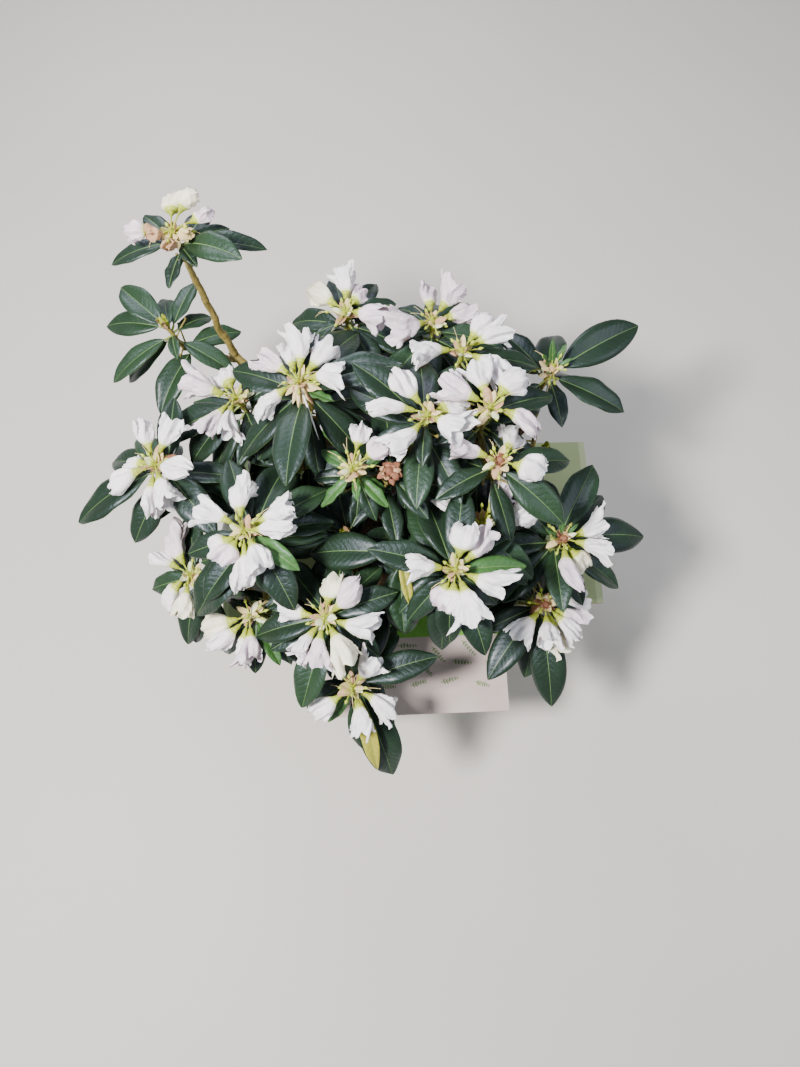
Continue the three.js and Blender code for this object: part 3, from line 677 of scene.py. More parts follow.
# Half widths and depth of the stalk; the midrib's half width, its taper, how far it is sunken above and
# stands out below; where a margin starts to roll and how far; and the waves along a blade
STALK_HALVES = (1.3, 1.0, 1.1)
STALK_DEPTH = 1.7
RIB_HALF, RIB_TAPER = 0.6, 0.42
RIB_SUNK = 0.35
KEEL = 1.1
MARGIN_FROM, MARGIN_ROLL = 0.62, 1.5
WAVES = 19


def leaf(shape, given, draw, kinds, breadth=1.0):
    """One leaf: a stalk, and an elliptic blade folded along its sunken midrib, its margins rolled down."""
    top, rib, under, stalk = kinds
    long, sizes = given["long"], bpy.context.scene.shrub_sizes
    thick = sizes.leaf_thickness / MM
    wide = LEAF_WIDTH * long / 2 * (0.78 + 0.15 * draw()) * breadth
    fold = math.tan(sizes.leaf_fold * (0.55 + 0.9 * draw()))
    wave, phase, roll = 0.4 + 1.1 * draw(), 2 * math.pi * draw(), math.radians(vary(draw, 16))
    aside = vary(draw, 0.07) * long
    s = np.concatenate([[0.004, 0.02, 0.05], np.linspace(0.1, 0.92, LEAF_ROWS - 3), [0.955, 0.98, 0.996]])
    t = np.concatenate([[0, PETIOLE * 0.5, PETIOLE * 0.92], PETIOLE + (1 - PETIOLE) * s])[:, None]
    is_blade = (t > PETIOLE).astype(float)
    blade_halves = np.maximum(wide * s ** WIDENS * (1 - s) ** NARROWS / WIDEST, 0.3)
    halves = np.concatenate([STALK_HALVES, blade_halves])[:, None]
    centre = np.array([midrib(given, share) for share in t[:, 0]])
    along = np.array([heading(given["bearing"], given["pitch"] - given["bend"] * share) for share in t[:, 0]])
    flat = heading(given["bearing"] + 90, 0)
    centre += flat * aside * np.clip(t - PETIOLE, 0, 1) ** 2
    side = flat * math.cos(roll) + np.cross(along, flat) * math.sin(roll)
    up = np.cross(along, side)
    rib_half = np.minimum(np.where(is_blade > 0, RIB_HALF - RIB_TAPER * t, RIB_HALF), halves * 0.5)
    low_x = halves * np.concatenate([-LEAF_COLUMNS, [0], LEAF_COLUMNS[::-1]])
    top_x = np.concatenate([-low_x[:, :4], rib_half, -rib_half, -low_x[:, 5:]], 1)

    def height(x):
        """How high the blade is across it: folded up, rolled down at its margins, and wavy."""
        share = np.abs(x) / halves
        rolled = halves * MARGIN_ROLL * np.clip(share - MARGIN_FROM, 0, 1) ** 2
        waves = wave * np.sin(t * WAVES + phase + np.sign(x)) * share ** 2 * is_blade
        return np.abs(x) * fold - rolled + waves

    top_z = height(top_x) + thick / 2
    top_z[:, 4:6] -= RIB_SUNK
    low_z = height(low_x) - thick / 2
    low_z[:, 4:5] -= KEEL - t
    low_z -= (1 - is_blade) * (STALK_DEPTH - np.abs(low_x) / halves)
    x, z = np.concatenate([top_x, low_x], 1), np.concatenate([top_z, low_z], 1)
    rings = centre[:, None] + x[..., None] * side[:, None] + z[..., None] * up[:, None]
    kind = np.full((len(t) - 1, x.shape[1]), under)
    kind[:, :9] = top
    kind[:, 4] = rib
    kind[:3] = stalk
    shape.sweep(rings, kind, np.stack([x, t * long + 0 * x], -1))


# A scale: shares of its length, its widths there, and where its ring of points lies across and through it
SCALE_SHARES = np.array((0, 0.12, 0.3, 0.5, 0.7, 0.86, 0.97, 1))
SCALE_WIDTHS = np.array((0.45, 0.7, 0.95, 1, 0.85, 0.55, 0.2, 0.05))
SCALE_COLUMNS = np.array((1, 0.5, 0, -0.5, -1, -0.5, 0, 0.5))
SCALE_LIFT = np.array((0, 1, 1, 1, 0, -1, -1.4, -1))


def scale_leaf(shape, root, bearing, pitch, bend, long, wide, kind, hollow=0.35, thick=0.3):
    """A small pointed scale that bends along its length and is hollow across."""
    given = {"root": root, "bearing": bearing, "pitch": pitch, "bend": bend, "long": long}
    centre = np.array([midrib(given, t) for t in SCALE_SHARES])
    along = np.array([heading(bearing, pitch - bend * t) for t in SCALE_SHARES])
    side = heading(bearing + 90, 0) + 0 * along
    up = np.cross(along, side)
    x = wide / 2 * SCALE_WIDTHS[:, None] * SCALE_COLUMNS
    z = wide / 2 * SCALE_WIDTHS[:, None] * hollow * SCALE_COLUMNS ** 2 + SCALE_LIFT * thick
    rings = centre[:, None] + x[..., None] * side[:, None] + z[..., None] * up[:, None]
    shape.sweep(rings, kind, np.stack([x, SCALE_SHARES[:, None] * long + 0 * x], -1))


# Blossom: rings up the outside of a flower as shares of its length, and then down its inside; up to which
# ring its foot is green, lime and pale; how large a crumpled one is, and how long a flower's neck, as a
# share of STALK
FLOWER_AROUND = 56
FLOWER_OUTER = np.concatenate([[0, 0.015, 0.045, 0.08, 0.12, 0.16, 0.2, 0.25], np.linspace(0.31, 1, 15)])
FLOWER_INNER = np.linspace(0, 1, 7)
PETALS = 5
PETAL_THICK = 0.4
GREEN_RINGS, LIME_RINGS, PALE_RINGS = 5, 7, 8
CRUMPLED_SIZE = 0.84
CRUMPLED_NECK, NECK = 1.1, 0.6

# The share of flowers that are blushed, and the random share from which on they are ivory
BLUSH_SHARE, IVORY_FROM = 0.3, 0.86

# Shares of a flower's length, and its widths there when it is furled, flared or a crumpled ball
FLOWER_SHARES = (0, 0.04, 0.1, 0.16, 0.24, 0.34, 0.48, 0.64, 0.78, 0.9, 1)
FURLED = (0.1, 0.18, 0.22, 0.24, 0.36, 0.6, 0.84, 0.98, 0.92, 0.7, 0.36)
FLARED = (0.1, 0.18, 0.22, 0.24, 0.34, 0.52, 0.72, 0.9, 1.06, 1.2, 1.3)
BALL = (0.12, 0.18, 0.23, 0.27, 0.48, 0.74, 0.92, 0.98, 0.92, 0.78, 0.56)

# The forms of a flower. One is taken where the chance is under its first number. Then come its widths, the
# least share of a flower's full length and what may be added to it, how far its mouth is open, how rough it
# is, and how deep its inside can be seen
FORMS = ((0.14, BALL, 0.58, 0.14, 0.3, 2.3, 0.15), (0.42, FURLED, 0.82, 0.17, 0.15, 1.5, 0.06),
         (1.0, FLARED, 0.72, 0.22, 1.0, 2.0, 0.4))


def noise_rows(far, around, size, wrap, start=0.0, octaves=None):
    """Noise on the skin of a tube: its cells have a size along it, and wrap tells how many go round it."""
    turn = np.arange(around) * 2 * math.pi / around
    found = []
    for f in far:
        places = [Vector((math.cos(a) * wrap, math.sin(a) * wrap, f / size + start)) for a in turn]
        found.append([noise.fractal(p, *octaves) if octaves else noise.noise(p) for p in places])
    return np.array(found)


def flower(shape, given, draw, crumpled=False, size=1.0, petal=None):
    """A stalk and a wilting funnel: a narrow green neck, then a flattened, creased bag, furled or flared."""
    sizes = bpy.context.scene.shrub_sizes
    start = math.radians(given["pitch"])
    direction = heading(given["bearing"], given["pitch"])
    neck = STALK * (CRUMPLED_NECK if crumpled and not petal else NECK) * size
    arch = np.linspace(0, 1, 6)[:, None]
    stalk = given["root"] + direction * neck * arch + vec(0, 0, 1.6) * np.sin(math.pi * arch)
    tube(shape, stalk, (1.3, 1.0, 0.9, 0.9, 1.0, 1.3), 8, GREEN)
    chance = draw() * (not crumpled)
    _, widths, least, more, open_end, rough, depth = next(form for form in FORMS if chance < form[0])
    share = least + more * draw()
    half = sizes.flower_width / MM / 2 * (0.82 + 0.3 * draw()) * size
    squash = 0.36 + 0.26 * draw() + 0.1 * open_end
    long = (STALK * 0.4 + BELL) * share * size
    droop = math.radians(6 + 36 * draw())
    bent, twist = math.radians(vary(draw, 30)), vary(draw, 0.8)
    roll = vary(draw, 0.7)
    lobe_turn, phase, ripple = (2 * math.pi * draw() for _ in range(3))
    pleats, creases = 4.5 + 3.5 * draw(), 9 + 5 * draw()

    # Each petal's notch, curl and breadth, and with them how far each part of the mouth reaches
    depths = np.array([0.05 + 0.15 * draw() for _ in range(PETALS)]) + 0.1 * open_end
    curls = np.array([vary(draw, 0.28) for _ in range(PETALS)])
    powers = np.array([0.4 + 0.45 * draw() for _ in range(PETALS)])
    turn = np.arange(FLOWER_AROUND) * 2 * math.pi / FLOWER_AROUND
    lobe = np.abs(np.cos(PETALS / 2 * (turn - lobe_turn)))
    which = (((turn - lobe_turn) / (2 * math.pi) * PETALS + 0.5) % PETALS).astype(int) % PETALS
    jag = 0.015 * np.sin(9 * turn + phase) + 0.014 * np.sin(16 * turn + ripple)
    ends = 1 - depths[which] * (1 - lobe ** powers[which]) - 0.06 * np.cos(turn + phase) + jag

    # Rings up the outside and down the inside, crushed by noise
    v = np.concatenate([FLOWER_OUTER, 1 - depth * FLOWER_INNER])[:, None]
    thin = np.concatenate([np.zeros(len(FLOWER_OUTER)), np.full(len(FLOWER_INNER), PETAL_THICK)])[:, None]
    u = v * (1 + (ends - 1) * v)
    crush = noise_rows(v[:, 0] * long, FLOWER_AROUND, 12, 1.7, phase, (0.7, 2.3, 4))
    radius = half * np.interp(u, FLOWER_SHARES, widths)
    radius *= 1 + 0.1 * u ** 3 * np.cos(PETALS * (turn - lobe_turn))
    curled = curls[which] * lobe * np.clip((u - 0.55) / 0.45, 0, 1) ** 1.4
    radius = radius * (1 + curled) + rough * 1.5 * crush * np.clip(2.2 * u - 0.45, 0, 1) - thin
    radius = np.maximum(radius, 0.5)

    # Flattened, with long pleats, finer creases, curled petals and a ruffled edge
    angle = turn + 0 * u
    x = radius * np.cos(angle)
    z = radius * np.sin(angle) * (1 - (1 - squash) * np.clip((u - 0.15) * 3, 0, 1))
    pleat = sizes.petal_pleat / MM * np.clip(2 * u - 0.4, 0, 1)
    z += pleat * (np.sin(pleats * x / half + phase + 1.5 * u)
                  + np.abs(np.sin(creases / 2 * x / half + 2 * u + ripple)))
    z += (rough * 0.45 * u * np.sin(11 * u + 2 * angle + ripple)
          + half * (0.2 * (0.5 - u) + 0.5 * curled) * u ** 2)
    z += rough * 0.5 * np.roll(crush, 9, 1) * np.clip(2 * u - 0.6, 0, 1)
    z += 0.9 * np.sin(12 * angle + 6 * u + phase) * np.clip(2 * u - 1, 0, 1) ** 2

    # Twisted, and bent down and aside
    spin = roll + twist * u
    x, z = x * np.cos(spin) - z * np.sin(spin), x * np.sin(spin) + z * np.cos(spin)
    pitches = start - droop * u
    out = long / droop * (math.sin(start) - np.sin(pitches))
    rise = long / droop * (np.cos(pitches) - math.cos(start))
    flat, left = heading(given["bearing"], 0), heading(given["bearing"] + 90, 0)
    along = np.cos(pitches)[..., None] * flat + np.sin(pitches)[..., None] * vec(0, 0, 1)
    up = np.cross(along, left)
    foot = given["root"] + direction * (neck - 0.4)
    rings = foot + out[..., None] * flat + rise[..., None] * vec(0, 0, 1) + z[..., None] * up
    rings += (x + bent * long * u ** 2 / 2)[..., None] * left
    faded = draw()
    petal = petal or (BLUSH if faded < BLUSH_SHARE else IVORY if faded > IVORY_FROM else WHITE)
    kind = np.full((len(v) - 1, FLOWER_AROUND), petal)
    if petal in (WHITE, BLUSH, IVORY):
        kind[:PALE_RINGS] = PALE
        kind[:LIME_RINGS] = LIME
        kind[:GREEN_RINGS] = GREEN
    shape.sweep(rings, kind, np.stack([turn * half + 0 * u, u * long], -1))


THREAD_POINTS = 7


def thread(shape, start, bearing, pitch, bend, long, radius, kind, around=5):
    """A thin curved stalk, style or filament; its far end is returned."""
    given = {"root": start, "bearing": bearing, "pitch": pitch, "bend": bend, "long": long}
    path = np.array([midrib(given, t) for t in np.linspace(0, 1, THREAD_POINTS)])
    tube(shape, path, np.linspace(radius, radius * 0.75, THREAD_POINTS), around, kind)
    return path[-1]


# Parts that follow one another round a stalk turn by this much, so that none lies straight over another.
# Then how many stalks without a flower a truss has and how many degrees they keep from a flower, and how
# many bracts and scales there are
GOLDEN_TURN = 137.5
BARE_STALKS, STALK_ROOM = 9, 10
BRACTS = 11
BUD_SCALES, WITHERED_SCALES = 13, 12


def truss_centre(shape, s, draw):
    """The stem of a truss with its papery bracts and with the stalks that have lost their flowers."""
    at, axis = vec(*s["at"]), s["axis"]
    core = np.array([at + axis * h for h in (-15, -9, -3, 2, 5)])
    tube(shape, core, (2.6, 3.2, 3.4, 2.6, 1.2), 10, GREEN)
    taken = [f["bearing"] for f in s["flowers"]]
    for i in range(BARE_STALKS):
        bearing = i * GOLDEN_TURN + vary(draw, 20)
        if min((abs((bearing - b + 180) % 360 - 180) for b in taken), default=90) < STALK_ROOM:
            continue
        pitch = 5 + 60 * draw()
        long, kind = 11 + 9 * draw(), LIME if draw() < 0.5 else GREEN
        end = thread(shape, at - axis * 2, bearing, pitch, 14, long, 0.8, kind, 7)
        bead = np.array([end + heading(bearing, pitch) * h for h in (-1.2, 0.4, 2, 4.2)])
        tube(shape, bead, (0.8, 1.9, 1.6, 0.5), 8, LIME)
        for _ in range(int(3 * draw() ** 2)):
            way, rise, bend = bearing + vary(draw, 20), pitch + vary(draw, 25), 30 + 60 * draw()
            thread(shape, end, way, rise, bend, 9 + 9 * draw(), 0.3, CREAM)
    dry = BROWN if s["dry"] else TAN
    if s["dry"]:
        bud(shape, at + axis, axis, 13, 12, draw, (BROWN, TAN, BROWN))
    for i in range(BRACTS):
        bearing = i * GOLDEN_TURN + 60 + vary(draw, 18)
        root = at - axis * (10 - 0.9 * i) + heading(bearing, 0) * 1.8
        kind = (CREAM, CREAM, TAN, CREAM, dry, PALE)[int(draw() * 6)]
        pitch, bend, long, wide = 12 + 50 * draw(), vary(draw, 50) + 5, 11 + 8 * draw(), 5.5 + 4 * draw()
        scale_leaf(shape, root, bearing, pitch, bend, long, wide, kind, vary(draw, 0.7), 0.25)
    for bearing, pitch, long, wide, kind in s["bracts"]:
        scale_leaf(shape, at + heading(bearing, 0) * 2, bearing, pitch, 24, long, wide, kind, -0.5, 0.3)


def bud(shape, at, axis, long, wide, draw, kinds):
    """A bud of overlapping scales."""
    shares = np.linspace(0, 1, 9)
    core = np.array([at + axis * long * (h - 0.5) for h in shares])
    swell = np.sin(math.pi * np.clip(0.12 + shares * 0.85, 0, 1)) ** 0.8
    tube(shape, core, wide / 2 * 0.86 * swell, 12, kinds[0])
    for i in range(BUD_SCALES):
        bearing = i * GOLDEN_TURN
        root = at + axis * long * (-0.5 + i * 0.05) + heading(bearing, 0) * wide * 0.3
        kind = kinds[int(draw() * len(kinds))]
        scale_leaf(shape, root, bearing, 80 - 2 * i, -28, long * 0.52, wide * 0.62, kind, -0.35, 0.3)


def spent_bud(shape, at, axis, draw):
    """A withered bud: a brown ball of shrunken, curled scales."""
    bud(shape, at, axis, 15, 15, draw, (BROWN, BROWN, TAN))
    for i in range(WITHERED_SCALES):
        bearing = i * GOLDEN_TURN + 40
        root = at + axis * vary(draw, 4) + heading(bearing, 0) * 3
        pitch, bend, kind = 60 * draw(), 70 + 70 * draw(), BROWN if draw() < 0.75 else TAN
        scale_leaf(shape, root, bearing, pitch, bend, 12, 7, kind, vary(draw, 0.7), 0.3)


# Finishes: typical indices of refraction
WAX_IOR, PETAL_IOR, PAPER_IOR, WOOD_IOR = 1.45, 1.4, 1.5, 1.53
PLASTIC_IOR, PEAT_IOR, GLASS_IOR = 1.49, 1.48, 1.5

# A leaf's pattern, in millimetres: how far its veins sweep forward for each one across, the cells that make
# them wander and how far, the wrinkles, the grain as cells in each millimetre, and the patches of lighter and
# darker green
VEIN_SWEEP = 0.8
WANDER_CELL, WANDER = 10, 6.0
WRINKLE_CELL = 2
GRAIN_CELLS = 1.1
PATCH_CELL = 45


def linear(colour):
    """An sRGB hex colour as linear red, green, blue and alpha."""
    shares = [int(colour[i:i + 2], 16) / 255 for i in (1, 3, 5)]
    return [s / 12.92 if s <= 0.04045 else ((s + 0.055) / 1.055) ** 2.4 for s in shares] + [1.0]


def toned(colour, by):
    """A linear colour made lighter or darker."""
    return [min(1.0, share * by) for share in colour[:3]] + [1.0]


def add(tree, kind, inputs=None, **settings):
    """A shader node with its settings; an input takes a value, or a socket or node that is linked to it."""
    made = tree.nodes.new(kind)
    for name, value in settings.items():
        setattr(made, name, value)
    for name, value in (inputs or {}).items():
        if isinstance(value, bpy.types.Node):
            value = value.outputs[0]
        if isinstance(value, bpy.types.NodeSocket):
            tree.links.new(value, made.inputs[name])
        else:
            made.inputs[name].default_value = value
    return made


def new_material(name):
    """A material with an empty tree of nodes."""
    material = bpy.data.materials.new(name)
    material.use_nodes = True
    material.node_tree.nodes.clear()
    return material, material.node_tree


def shaded(tree, share, colour, positions, tones):
    """A ramp that goes from the colour darkened to the colour lightened as the share rises."""
    ramp = add(tree, "ShaderNodeValToRGB", {"Fac": share})
    for element, position, tone in zip(ramp.color_ramp.elements, positions, tones):
        element.position, element.color = position, toned(colour, tone)
    return ramp


def speckled(name, colour, size, roughness, ior, spread=0.16, relief=0.0, stretch=(1, 1, 1), place="Object",
             **more):
    """A finish that a fine noise, whose cells have a size in millimetres, makes lighter and darker."""
    material, tree = new_material(name)
    places = add(tree, "ShaderNodeTexCoord").outputs[place]
    cell = size * (MM if place == "Object" else 1)
    scale = [share / cell for share in stretch]
    scaled = add(tree, "ShaderNodeMapping", {"Vector": places, "Scale": scale})
    grain = add(tree, "ShaderNodeTexNoise", {"Vector": scaled, "Scale": 1.0, "Detail": 4.0})
    ramp = shaded(tree, grain, colour, (0.34, 0.66), (1 - spread, 1 + spread))
    inputs = {"Base Color": ramp, "Roughness": roughness, "IOR": ior, **more}
    if relief:
        inputs["Normal"] = add(tree, "ShaderNodeBump", {"Height": grain, "Distance": relief * MM})
    add(tree, "ShaderNodeOutputMaterial", {"Surface": add(tree, "ShaderNodeBsdfPrincipled", inputs)})
    return material


def leathery(name, colour, roughness, coat):
    """A leaf whose side veins are sunken, so that it is quilted between them and finely wrinkled all over.

    Its UV map is in millimetres, across the midrib and along it. The veins sweep forward from the midrib, and
    between them are wrinkles of 2 mm with a grain of 0.9 mm.
    """
    material, tree = new_material(name)
    sizes = bpy.context.scene.shrub_sizes
    places = add(tree, "ShaderNodeTexCoord")
    uv = places.outputs["UV"]
    split = add(tree, "ShaderNodeSeparateXYZ", {"Vector": uv})
    across = add(tree, "ShaderNodeMath", {0: split.outputs["X"]}, operation="ABSOLUTE")
    swept = add(tree, "ShaderNodeMath", {0: across, 1: -VEIN_SWEEP, 2: split.outputs["Y"]},
                operation="MULTIPLY_ADD")
    wander = add(tree, "ShaderNodeTexNoise", {"Vector": uv, "Scale": 1 / WANDER_CELL, "Detail": 1.0})
    swept = add(tree, "ShaderNodeMath", {0: wander, 1: WANDER, 2: swept}, operation="MULTIPLY_ADD")
    turns = add(tree, "ShaderNodeMath", {0: swept, 1: math.pi * MM / sizes.vein_spacing},
                operation="MULTIPLY")
    wave = add(tree, "ShaderNodeMath", {0: add(tree, "ShaderNodeMath", {0: turns}, operation="SINE")},
               operation="ABSOLUTE")
    puff = add(tree, "ShaderNodeMath", {0: wave, 1: 0.45}, operation="POWER")
    cells = add(tree, "ShaderNodeTexVoronoi", {"Vector": uv, "Scale": 1 / WRINKLE_CELL}, feature="SMOOTH_F1")
    grain = add(tree, "ShaderNodeTexNoise", {"Vector": uv, "Scale": GRAIN_CELLS, "Detail": 3.0})
    grain = add(tree, "ShaderNodeMath", {0: grain, 1: 0.6}, operation="MULTIPLY")
    fine = add(tree, "ShaderNodeMath", {0: cells.outputs["Distance"], 1: -0.55, 2: grain},
               operation="MULTIPLY_ADD")
    height = add(tree, "ShaderNodeMath", {0: puff, 1: 0.5, 2: fine}, operation="MULTIPLY_ADD")
    bump = add(tree, "ShaderNodeBump", {"Height": height, "Distance": sizes.vein_relief})
    patches = add(tree, "ShaderNodeTexNoise",
                  {"Vector": places.outputs["Object"], "Scale": 1 / (PATCH_CELL * MM), "Detail": 3.0})
    patches = add(tree, "ShaderNodeMath", {0: patches, 1: 0.95}, operation="MULTIPLY")
    # Painted shade: the colour is darker along the sunken side veins and lighter on the puffs between them; the
    # broad patches vary the green at random
    shade = add(tree, "ShaderNodeMath", {0: puff, 1: 0.16, 2: patches}, operation="MULTIPLY_ADD")
    surface = add(tree, "ShaderNodeBsdfPrincipled", {
        "Base Color": shaded(tree, shade, colour, (0.35, 0.85), (0.72, 1.3)), "Roughness": roughness,
        "IOR": WAX_IOR, "Coat Weight": coat, "Coat Roughness": 0.28, "Coat Tint": linear("#dfe9ff"),
        "Specular Tint": linear("#d3defc"), "Normal": bump})
    add(tree, "ShaderNodeOutputMaterial", {"Surface": surface})
    return material


def crinkled(name, colour, spread):
    """A thin crinkled petal: 3 mm crinkles drawn out along the flower, painted shade that greys their hollows,
    and a little light let through.
    """
    return speckled(name, colour, 3.0, 0.5, PETAL_IOR, spread, 1.0, (1, 0.3, 1), "UV",
                    **{"Subsurface Weight": 0.1, "Subsurface Scale": 3 * MM})


@functools.lru_cache(maxsize=None)
def finishes():
    """Every finish of the plant and of what it stands in, by name."""
    c = bpy.context.scene.shrub_colours
    return {
        # Old waxed leaf: dark leather, whose bluish sheen the veins and wrinkles break up
        "leaf_deep": leathery("leathery_leaf_deep_green", c.leaf_deep, 0.4, 0.25),
        # This year's leaf: the same leather, a little lighter and softer in its sheen
        "leaf_mid": leathery("leathery_leaf_mid_green", c.leaf_mid, 0.42, 0.2),
        # Newly opened leaf: soft, fresh green, with little wax on it yet
        "leaf_young": leathery("young_leaf_fresh_green", c.leaf_young, 0.45, 0.1),
        # Leaf about to fall: dull yellow, its wax worn off
        "leaf_yellow": leathery("yellowing_leaf", c.leaf_yellow, 0.5, 0.1),
        # Midrib: a smooth pale line that stands out from the blade
        "rib": speckled("midrib_pale_green", c.midrib, 6, 0.5, WAX_IOR),
        # Underside: no wax, so pale, matt and faintly felted
        "under": speckled("leaf_underside_matt", c.leaf_under, 5, 0.6, WAX_IOR, relief=0.1),
        # Petiole: smooth skin, yellower than the blade
        "stalk": speckled("petiole_yellow_green", c.petiole, 5, 0.5, WAX_IOR),
        # Green twig: skin that begins to cork over, with blotches and low bumps
        "twig": speckled("green_brown_twig", c.twig, 5, 0.6, WOOD_IOR, 0.25, 0.3),
        # Flower stalk and neck: fleshy, yellow green
        "green": speckled("flower_neck_yellow_green", c.neck, 3, 0.5, PETAL_IOR, 0.14, place="UV"),
        # Foot of the petals: bright lime, where the tube is thickest
        "lime": speckled("petal_base_lime_green", c.petal_lime, 3, 0.5, PETAL_IOR, 0.08, place="UV"),
        # Petals next to it: the green shows through thin white tissue
        "pale": speckled("petal_base_pale_green", c.petal_base, 3, 0.5, PETAL_IOR, 0.05, place="UV"),
        # Fresh wilted petal: crepe-like and white, with painted grey shade in the valleys of its crinkles
        "white": crinkled("petal_white_crinkled", c.petal, 0.075),
        # Petal of a bud that was mauve: a faint mauve tint all over, with painted shade that darkens it in the
        # folds
        "blush": crinkled("petal_faint_mauve", c.petal_blush, 0.1),
        # Petal that has begun to dry: ivory
        "ivory": crinkled("petal_ivory_fading", c.petal_ivory, 0.08),
        # Fresh bract: thin dry scale, cream and matt
        "cream": speckled("bract_cream_papery", c.bract_cream, 2, 0.6, PAPER_IOR, 0.15, 0.15),
        # Old bract: the same scale, tanned
        "tan": speckled("bract_tan_papery", c.bract_tan, 2, 0.65, PAPER_IOR, 0.2, 0.2),
        # Withered bract: red brown, brittle and blotched
        "brown": speckled("bract_red_brown_withered", c.bract_brown, 2, 0.7, PAPER_IOR, 0.25, 0.3),
        # This year's bark: smooth, olive yellow, lightly mottled
        "young_bark": speckled("bark_yellow_tan", c.young_bark, 3, 0.7, WOOD_IOR, 0.22, 0.4),
        # Old bark: grey brown cork, rough and dull
        "bark": speckled("bark_grey_brown", c.bark, 3, 0.85, WOOD_IOR, 0.3, 0.7),
        # Corrugated board, printed: matt paper with a stone-coloured ink that lies a little uneven
        "board": speckled("corrugated_board_stone_print", c.board, 26, 0.7, PAPER_IOR, 0.06, 0.03),
        # A solid band of green ink on the same paper, slightly smoother
        "band": speckled("board_green_band", c.board_band, 30, 0.6, PAPER_IOR, 0.05),
        # Sprigs in dull green ink, broken up like a halftone
        "sprig": speckled("board_printed_sprig", c.board_sprig, 6, 0.6, PAPER_IOR, 0.2),
        # Strip along the outer edge of the green flaps: the pale green board lightened, a painted highlight on
        # the rim
        "flap_rim_painted_light": speckled("corrugated_board_rim_painted_light", c.board_rim_painted_light, 40, 0.7, PAPER_IOR, 0.04),
        # Corrugated board, printed pale green: matt paper, with the flutes just felt through it
        "flap": speckled("corrugated_board_pale_green", c.board_green, 40, 0.7, PAPER_IOR, 0.04, 0.03),
        # Raw kraft paper at cut edges and on the underside: brown, fibrous and dull, its brown darkened a
        # little as painted shade
        "edge": speckled("corrugated_board_cut_edge", c.board_edge, 4, 0.9, PAPER_IOR, 0.12, 0.1),
        # Moulded polypropylene: black, with the soft gloss of a fine spark-eroded mould
        "pot": speckled("moulded_black_polypropylene", c.pot, 3, 0.5, PLASTIC_IOR, 0.1, 0.05),
        # Peat: dark, matt and crumbly, in crumbs of about 3 mm
        "soil": speckled("peat_soil", c.soil, 3, 0.95, PEAT_IOR, 0.45, 1.0),
        # Perlite grains: chalky white specks on the peat
        "perlite": speckled("perlite_white", c.perlite, 2, 0.9, GLASS_IOR, 0.1, 0.3),
    }


def picked(*names):
    """Finishes by name, in the order of their numbers on a piece."""
    return [finishes()[name] for name in names]


# Finishes of leaves by their numbers, the share of leaves that have this year's green, how broad a kind of leaf
# is, and how far a sprout bends
DEEP, MID, YOUNG, YELLOW, RIB, UNDER, LEAF_STALK = range(7)
MID_SHARE = 0.28
YOUNG_BREADTH, YELLOW_BREADTH, SPROUT_BREADTH = 0.8, 0.5, 0.62
SPROUT_BEND = 26


def foliage_shapes(turn):
    """Each mass with an empty shape and its own source of random shares."""
    for number, mass in enumerate(grown()[1]):
        yield mass, Shape(), seeded(turn * FIRST_SEED + number)


def finish_foliage(shape, mass, part, *names):
    """Makes one kind of piece of a mass, which stands for the mass with the others."""
    shape.finish(mass["name"].replace("foliage", part), picked(*names), "foliage", (mass["name"],))


def make_leaves():
    """The leaves of every mass, their greens dealt out by leaf."""
    for mass, shape, draw in foliage_shapes(3):
        for s in mass["shoots"]:
            given_bearings = [row[0] for row in s["leaves"]]
            for i, given in enumerate(s["blades"] + s["inner"]):
                if given is None:
                    continue
                marked = given_bearings[i] if i < len(given_bearings) else None
                kind, breadth = (MID if draw() < MID_SHARE else DEEP), 1.0
                if marked in s["young"]:
                    kind, breadth = YOUNG, YOUNG_BREADTH
                elif marked in s["yellow"]:
                    kind, breadth = YELLOW, YELLOW_BREADTH
                elif s["fresh"] and i < len(s["blades"]):
                    kind = MID
                leaf(shape, given, draw, (kind, RIB, UNDER, LEAF_STALK), breadth)
            for i, (bearing, pitch, long) in enumerate(s["sprouts"]):
                root = vec(*s["at"]) - s["axis"] * (2 + 2 * i) + heading(bearing, 0) * 1.5
                sprout = {"root": root, "bearing": bearing, "pitch": pitch, "bend": SPROUT_BEND, "long": long}
                kind = YOUNG if pitch > 0 else YELLOW
                leaf(shape, sprout, draw, (kind, RIB, kind, LEAF_STALK), SPROUT_BREADTH)
        finish_foliage(shape, mass, "leaves", "leaf_deep", "leaf_mid", "leaf_young", "leaf_yellow", "rib",
                       "under", "stalk")


def make_blossom():
    """Flowers, bracts and buds of every mass."""
    for mass, shape, draw in foliage_shapes(4):
        for s in mass["shoots"]:
            at, axis = vec(*s["at"]), s["axis"]
            for given in s["flowers"]:
                flower(shape, given, draw, s["crumpled"], CRUMPLED_SIZE if s["crumpled"] else 1.0)
            for bearing, pitch, size, kind in s["shrivelled"]:
                flower(shape, flower_at(s, bearing, pitch), draw, True, size, kind)
            if s["bloom"]:
                truss_centre(shape, s, draw)
            elif s["end"] == "spent":
                spent_bud(shape, at, axis, draw)
            elif s["end"] == "opening":
                bud(shape, at - axis * 4, axis, 16, 13, draw, (TAN, BROWN, CREAM))
                truss_centre(shape, s, draw)
            else:
                bud(shape, at - axis * 2, axis, 17, 9, draw, (GREEN, TAN, GREEN))
        finish_foliage(shape, mass, "blossom", "green", "lime", "pale", "white", "blush", "cream", "tan",
                       "brown", "ivory")


# Twigs: how far apart scars are and how far they stand out, and how many bare side twigs a shoot has
SCAR_SPACING, SCAR_RELIEF = 7, 0.28
SIDE_TWIGS = 3


